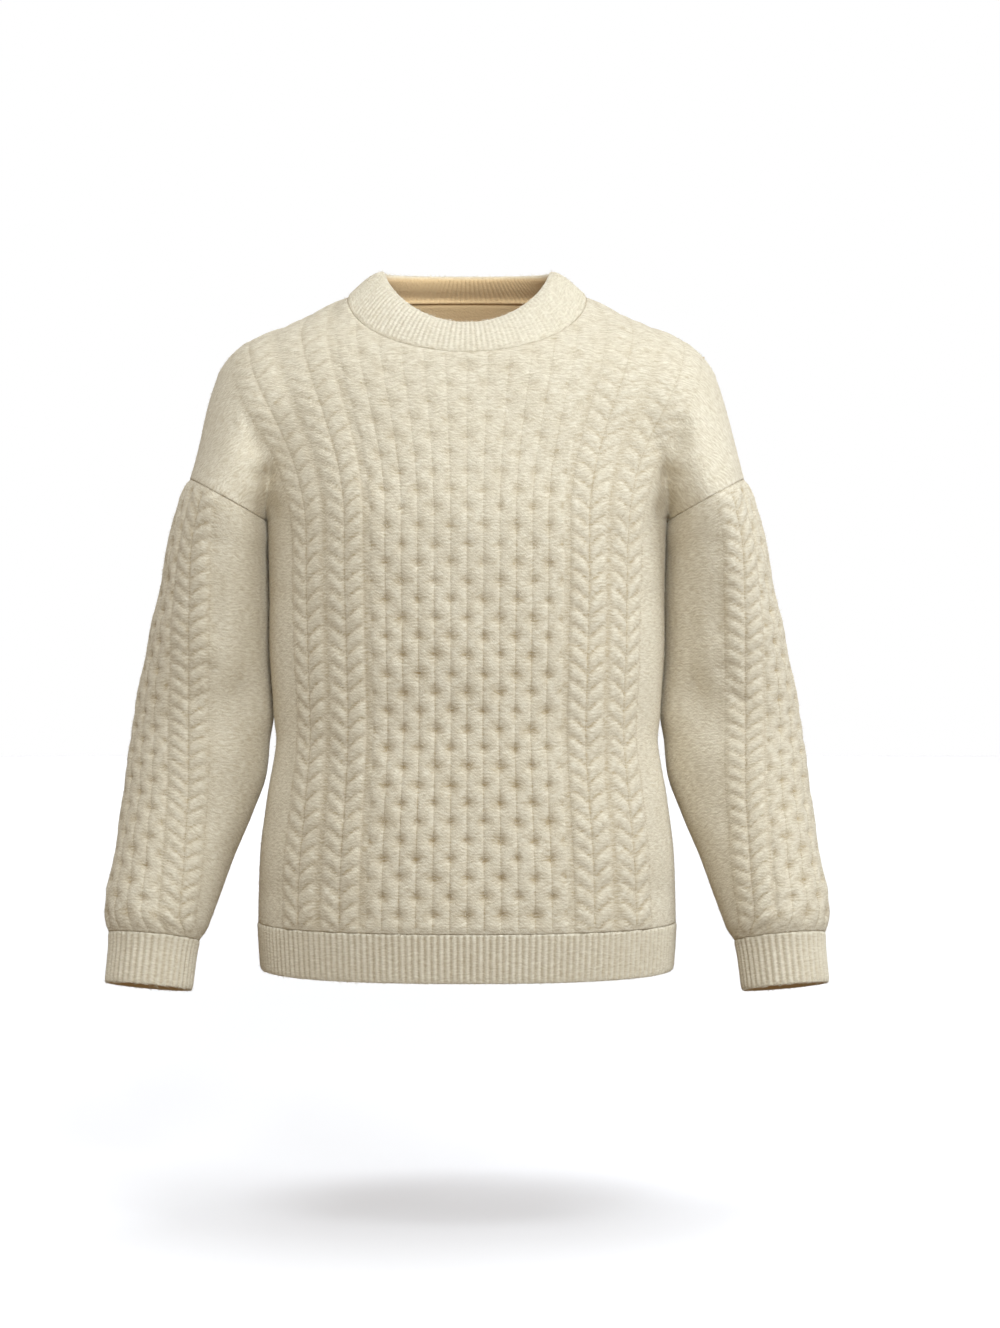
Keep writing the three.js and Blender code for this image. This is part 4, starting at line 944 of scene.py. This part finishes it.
def wool(key):
    """The sweater's materials, made once from the panel's colours."""
    if key not in MATERIALS:
        look = bpy.context.scene.sweater_wool
        colours = (look.light, look.shade, look.fleck_and_shade, look.inside)
        if key == "knit":
            MATERIALS[key] = wool_material("brushed_wool_knit", *colours, 0.5, 0.16)
        elif key == "rib":
            MATERIALS[key] = wool_material("brushed_wool_rib", *colours, 0.34, 0.1)
        else:
            MATERIALS[key] = plain_material("loose_wool_fibres", look.light, 1.0, 0.3)
    return MATERIALS[key]


def dress(made, node, key):
    """Puts a finished wall in place of its CAD node."""
    made.data.materials.append(wool(key))
    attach(made, "root")
    if node:
        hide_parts(node)
    return made


def put_fuzz(name, outer, normal, count, seed, mirror=False):
    """Adds loose fibres over a wall and lets them ride with it."""
    look = bpy.context.scene.sweater_wool
    rng = np.random.default_rng(SEED + seed)
    made = add_fuzz(name, outer, normal, int(count * look.fuzz), rng, look.fibre / MM, mirror)
    dress(made, None, "fuzz")


# Settings

class SweaterWool(bpy.types.PropertyGroup):
    light: bpy.props.StringProperty(name="Wool", description="sRGB hex colour of the brushed wool", default="#ece4cf")
    shade: bpy.props.StringProperty(name="Uneven wool", description="sRGB hex colour of its darker patches", default="#e4dac2")
    # The colour between the stitches is painted shade; the random fibre flecks take it too
    fleck_and_shade: bpy.props.StringProperty(name="Between stitches", description="sRGB hex colour deep between the stitches", default="#a68f66")
    # The inside colour is painted warm bounce light that stands in for the light inside the sweater
    inside: bpy.props.StringProperty(name="Inside", description="sRGB hex colour of the unbrushed inside", default="#eccb98")
    relief: bpy.props.FloatProperty(name="Stitch relief", description="Height of the cables and honeycomb", default=1.0, min=0.2, max=1.6, subtype="FACTOR")
    fuzz: bpy.props.FloatProperty(name="Fuzz", description="Share of the loose fibres", default=1.0, min=0.05, max=2.0, subtype="FACTOR")
    fibre: bpy.props.FloatProperty(name="Fibre length", description="Length of a loose fibre", default=0.0035, min=0.001, max=0.008, unit="LENGTH")


class StudioLight(bpy.types.PropertyGroup):
    distance: bpy.props.FloatProperty(name="Camera distance", description="From the camera to the middle of the neck", default=2.3, min=1.0, max=6.0, unit="LENGTH")
    lens: bpy.props.FloatProperty(name="Focal length", description="Lens on a 36 mm sensor, in millimetres", default=62.3, min=20.0, max=200.0)
    floor: bpy.props.FloatProperty(name="Floor height", description="Height of the floor under the neck", default=-0.897, unit="LENGTH")
    sky: bpy.props.FloatProperty(name="Room light", description="Strength of the even light from all round", default=0.23, min=0.0, max=3.0)


# Operators

class SWEATER_OT_panels(bpy.types.Operator):
    """Knits the front and the back, with honeycomb, V cables and plain sides"""
    bl_idname = "sweater.panels"
    bl_label = "Front and back"

    def execute(self, context):
        relief = context.scene.sweater_wool.relief
        for name, side in (("front", -1), ("back", 1)):
            points, s, row, to_top, to_ring = panel_grid(side)
            normal = grid_normals(points, False) * -side
            high, deep = stitches(s, row, HONEY_EDGE, (INNER_CABLE, OUTER_CABLE))
            # The stitch relief and its painted shade are weaker towards the top of the panel
            flatter_near_top = 0.38 + 0.57 * smooth(to_top / 380)
            high, deep = high * flatter_near_top, deep * flatter_near_top
            low = row * ROW
            to_neck = np.where(np.abs(s) < CORNER_LINE + 1, to_top, 99)
            seam = np.minimum(np.minimum(low, to_neck), to_ring)
            fade = smooth(np.minimum(np.minimum(to_neck, to_ring), to_top) / 7) * (0.3 + 0.7 * smooth(low / 7))
            soft = wobble(points, 90, SEED) * 1.2
            x, z = np.abs(points[..., 0]), points[..., 2]
            beside = smooth((x - curve(TRUNK, "half", z) + 26) / 20) * (z < ARMPIT)
            swell = swelling(z) * beside
            form = soft * (1 - beside) * smooth(np.minimum(seam, to_top) / 16) + swell
            away = smooth(np.minimum(seam, to_top) / 26) * smooth(np.abs(points[..., 1]) / 40)
            points = points + normal * form[..., None]
            points[..., 1] += side * fold(x, z, PANEL_FOLDS) * away
            normal = grid_normals(points, False) * -side
            rise = high * relief * fade - 0.4 * bell(to_ring, 1.6) - 0.2 * bell(to_neck, 1.6)
            seam_normal = normal.copy()
            level = np.abs(points[..., 1]) < 1
            seam_normal[level, 1] = 0
            seam_normal[level & (seam_normal[..., 2] < 0) & (z > ARM_TOP)] *= -1
            seam_normal = unit(seam_normal)
            outer = points + normal * rise[..., None]
            inner = points - seam_normal * WALL
            # Painted shade lines along the armhole seam and, fainter, below the neckband
            deep = np.maximum(deep * fade, 0.35 * bell(to_ring, 1.4))
            deep = np.maximum(deep, 0.2 * bell(to_neck, 1.4))
            made = wall_mesh(name + "_knit", outer, inner, (s, row * ROW), deep, False)
            dress(made, name, "knit")
            put_fuzz(name + "_fuzz", outer, normal, 44000, 10 + side)
        return {"FINISHED"}


class SWEATER_OT_sleeves(bpy.types.Operator):
    """Knits the two sleeves, with honeycomb outside and a V cable in front and behind"""
    bl_idname = "sweater.sleeves"
    bl_label = "Sleeves"

    def execute(self, context):
        relief = context.scene.sweater_wool.relief
        points, s, row, to_top, period = sleeve_grid()
        normal = -grid_normals(points, True)
        high, deep = stitches(s, row, SLEEVE_HONEY * HONEY_PITCH, (SLEEVE_CABLE,))
        low = row * SLEEVE_ROW
        seam = np.minimum(low, to_top)
        fade = smooth(to_top / 7) * (0.3 + 0.7 * smooth(low / 7))
        soft = wobble(points, 70, SEED + 5) * 1.2
        arc = np.abs(np.where(s > period / 2, s - period, s))
        z = points[..., 2]
        beside = smooth((points[..., 0].min(axis=1, keepdims=True) + 26 - points[..., 0]) / 20)
        form = (soft + fold(arc, z, SLEEVE_FOLDS)) * (1 - beside) * smooth(seam / 16) + swelling(z) * beside
        points = points + normal * form[..., None]
        normal = -grid_normals(points, True)
        rise = 0.8 * high * relief * fade - 0.4 * bell(to_top, 1.6)
        outer = points + normal * rise[..., None]
        inner = points - normal * WALL
        # Painted shade along the armhole seam at the sleeve's top, and between the stitches
        deep = np.maximum(0.85 * deep * fade, 0.35 * bell(to_top, 1.4))
        u = np.concatenate((s, period), axis=1)
        v = np.concatenate((row, row[:, :1]), axis=1) * SLEEVE_ROW
        for name, mirror in (("sleeve_right", False), ("sleeve_left", True)):
            made = wall_mesh(name + "_knit", outer, inner, (u, v), deep, True, mirror)
            dress(made, name, "knit")
            put_fuzz(name + "_fuzz", outer, normal, 24000, 20 + mirror, mirror)
        return {"FINISHED"}


class SWEATER_OT_bands(bpy.types.Operator):
    """Knits the ribbed hem, cuffs and neckband"""
    bl_idname = "sweater.bands"
    bl_label = "Ribbed bands"

    def execute(self, context):
        radius = WALL / 2
        length = HEM_SEAM - SEAM_GAP / 2 - HEM_EDGE
        self.band("hem_rib", HEM_RIBS, 6, rib_stops(length, radius, 23), length, 2,
                  lambda turn, down: hem_form(turn, HEM_SEAM - SEAM_GAP / 2 - down), radius, 900)
        down = rib_stops(CUFF_LENGTH, radius, 23)
        for name, mirror in (("cuff_right", False), ("cuff_left", True)):
            self.band(name, CUFF_RIBS, 6, down, CUFF_LENGTH, 2, cuff_form, radius, 255, mirror)
        self.neckband(radius)
        return {"FINISHED"}

    def band(self, name, ribs, fine, down, length, high, form, radius, around, mirror=False):
        count = ribs * fine
        turn = np.arange(count)[None, :] / count + 0 * down[:, None]
        away = down[:, None] + 0 * turn
        p, normal = form(turn, away)
        wave, channel = rib_wave(turn, ribs)
        lip = rim_round(length - away, radius, radius)
        start = smooth((away + 0.6) / 3.4)
        lift = SEAM_LIFT * (1 - start) * smooth((LIFT_EDGE[name == "hem_rib"] - np.abs(p[..., 0])) / 8)
        rise = (wave - 0.45) * high * start * smooth((length - away) / 4) + lift
        outer = (p + normal * (rise - lip)[..., None])[::-1]
        inner = (p - normal * (WALL - lip)[..., None])[::-1]
        # Painted shade in the channels between the ribs, fading out towards the seam
        deep = (channel * 0.4 * smooth(away / 3))[::-1]
        u = np.concatenate((turn, np.ones((len(down), 1))), axis=1) * around
        v = np.concatenate((away, away[:, :1]), axis=1)
        made = wall_mesh(name + "_knit", outer, inner, (u[::-1], v[::-1]), deep, True, mirror, (0, 1, 2))
        dress(made, name, "rib")
        share = 10000 if name == "hem_rib" else 2600
        put_fuzz(name + "_fuzz", outer, normal[::-1], share, len(name), mirror)

    def neckband(self, radius):
        count = NECK_RIBS * 6
        up = np.concatenate((np.linspace(0, 0.16, 9)[:-1], np.linspace(0.16, 0.87, 14), RIM_STOPS))
        turn = np.arange(count)[None, :] / count + 0 * up[:, None]
        share = up[:, None] + 0 * turn
        p, normal = band_form(turn, share)
        wide = 38.0
        wave, channel = rib_wave(turn, NECK_RIBS)
        outer_lip, inner_lip = (rim_round((1 - share) * wide, RIM_THICK / 2, reach) for reach in RIM_REACH)
        seam = share * wide
        ribs = wave * smooth(seam / 4) * smooth((1 - share) * wide / 4)
        rise = 0.8 * ribs - 0.3 * bell(seam, 1.4)
        thick = WALL + (RIM_THICK - WALL) * smooth(share * 1.5)
        roll = 2.4 * bell(seam - 2.6, 2.4)
        outer = p + normal * (rise - outer_lip)[..., None]
        inner = p - normal * (thick + 1.4 * ribs + roll - inner_lip)[..., None]
        # Painted shade, faint in the rib channels and stronger along the neck seam
        deep = np.maximum(channel * 0.1, 0.35 * bell(seam, 1.4))
        u = np.concatenate((turn, np.ones((len(up), 1))), axis=1) * 560
        v = np.concatenate((seam, seam[:, :1]), axis=1)
        made = wall_mesh("neckband_knit", outer, inner, (u, v), deep, True, False, (-1, -2, -3))
        dress(made, "neckband", "rib")
        put_fuzz("neckband_fuzz", outer, normal, 8000, 40)


class SWEATER_OT_stage(bpy.types.Operator):
    """Lays the pale floor and sets the studio light and the camera"""
    bl_idname = "sweater.stage"
    bl_label = "Stage"

    def execute(self, context):
        scene = context.scene
        studio = scene.sweater_studio
        bpy.ops.mesh.primitive_plane_add(size=14, location=(0, 4, studio.floor))
        floor = context.object
        floor.name = "floor"
        floor.data.materials.append(plain_material("pale_studio_floor", "#e0dcd8", 1.0))
        floor.visible_diffuse = False
        world = bpy.data.worlds.new("pale_room")
        scene.world = world
        world.use_nodes = True
        tree = world.node_tree
        tree.nodes.clear()
        ray = add_node(tree, "ShaderNodeLightPath")
        room = add_node(tree, "ShaderNodeBackground", None, {"Color": to_linear("#ffe6c4"), "Strength": studio.sky})
        seen = add_node(tree, "ShaderNodeBackground", None, {"Color": to_linear("#ffffff"), "Strength": 1.0})
        both = add_node(tree, "ShaderNodeMixShader", None, None, {
            0: (ray, "Is Camera Ray"), 1: (room, "Background"), 2: (seen, "Background")})
        add_node(tree, "ShaderNodeOutputWorld", None, None, {"Surface": (both, 0)})
        self.lamp("overhead_light", "SUN", (0, 0, 3), (0, 0, 0), 0.5)
        self.lamp("right_light", "AREA", (1.8, -0.9, 0.85), (0, 0, -0.3), 34, 1.1)
        self.lamp("left_light", "AREA", (-1.95, -0.6, 0.75), (0, 0, -0.3), 10, 1.1)
        self.lamp("front_light", "AREA", (0.3, -2.6, 0.85), (0, 0, -0.35), 57, 1.1)
        self.lamp("floor_light", "AREA", (0, 7, 2.2), (0, 7, 0), 270, 9)
        # Lights the floor alone, so that the sweater's soft shadow falls on it
        shadow_light = self.lamp("shadow_light", "SUN", (0.28, 0.85, 3), (0, 0, 0), 2.5)
        lit = bpy.data.collections.new("lit_floor")
        lit.objects.link(floor)
        shadow_light.light_linking.receiver_collection = lit
        camera = bpy.data.objects.new("camera", bpy.data.cameras.new("camera"))
        scene.collection.objects.link(camera)
        camera.location = (0, -studio.distance, -0.366)
        camera.rotation_euler = (math.radians(90), 0, 0)
        camera.data.lens = studio.lens
        camera.data.sensor_width = 36
        camera.data.shift_x = 33 / 1328
        scene.camera = camera
        scene.view_settings.view_transform = "Standard"
        return {"FINISHED"}

    def lamp(self, name, kind, place, aim, power, size=0):
        light = bpy.data.lights.new(name, kind)
        light.energy = power
        light.color = to_linear("#e9f3ff")[:3]
        if kind == "SUN":
            light.angle = math.radians(48)
        else:
            light.shape = "SQUARE"
            light.size = size
        made = bpy.data.objects.new(name, light)
        bpy.context.scene.collection.objects.link(made)
        made.location = place
        made.rotation_euler = (Vector(aim) - Vector(place)).to_track_quat("-Z", "Y").to_euler()
        return made


class SWEATER_PT_panel(bpy.types.Panel):
    bl_label = "Sweater"
    bl_space_type = "VIEW_3D"
    bl_region_type = "UI"
    bl_category = "Sweater"

    def draw(self, context):
        column = self.layout.column()
        for group in (context.scene.sweater_wool, context.scene.sweater_studio):
            for key in group.__annotations__:
                column.prop(group, key)
        for operator in STEPS:
            column.operator(operator.bl_idname)


STEPS = (SWEATER_OT_panels, SWEATER_OT_sleeves, SWEATER_OT_bands, SWEATER_OT_stage)
GROUPS = (SweaterWool, StudioLight)


def register():
    for made in (*GROUPS, *STEPS, SWEATER_PT_panel):
        bpy.utils.register_class(made)
    bpy.types.Scene.sweater_wool = bpy.props.PointerProperty(type=SweaterWool)
    bpy.types.Scene.sweater_studio = bpy.props.PointerProperty(type=StudioLight)


def unregister():
    del bpy.types.Scene.sweater_wool
    del bpy.types.Scene.sweater_studio
    for made in reversed((*GROUPS, *STEPS, SWEATER_PT_panel)):
        bpy.utils.unregister_class(made)


def main():
    register()
    bpy.ops.object.select_all(action="DESELECT")
    bpy.ops.sweater.panels()
    bpy.ops.sweater.sleeves()
    bpy.ops.sweater.bands()
    bpy.ops.sweater.stage()


if __name__ == "__main__":
    main()
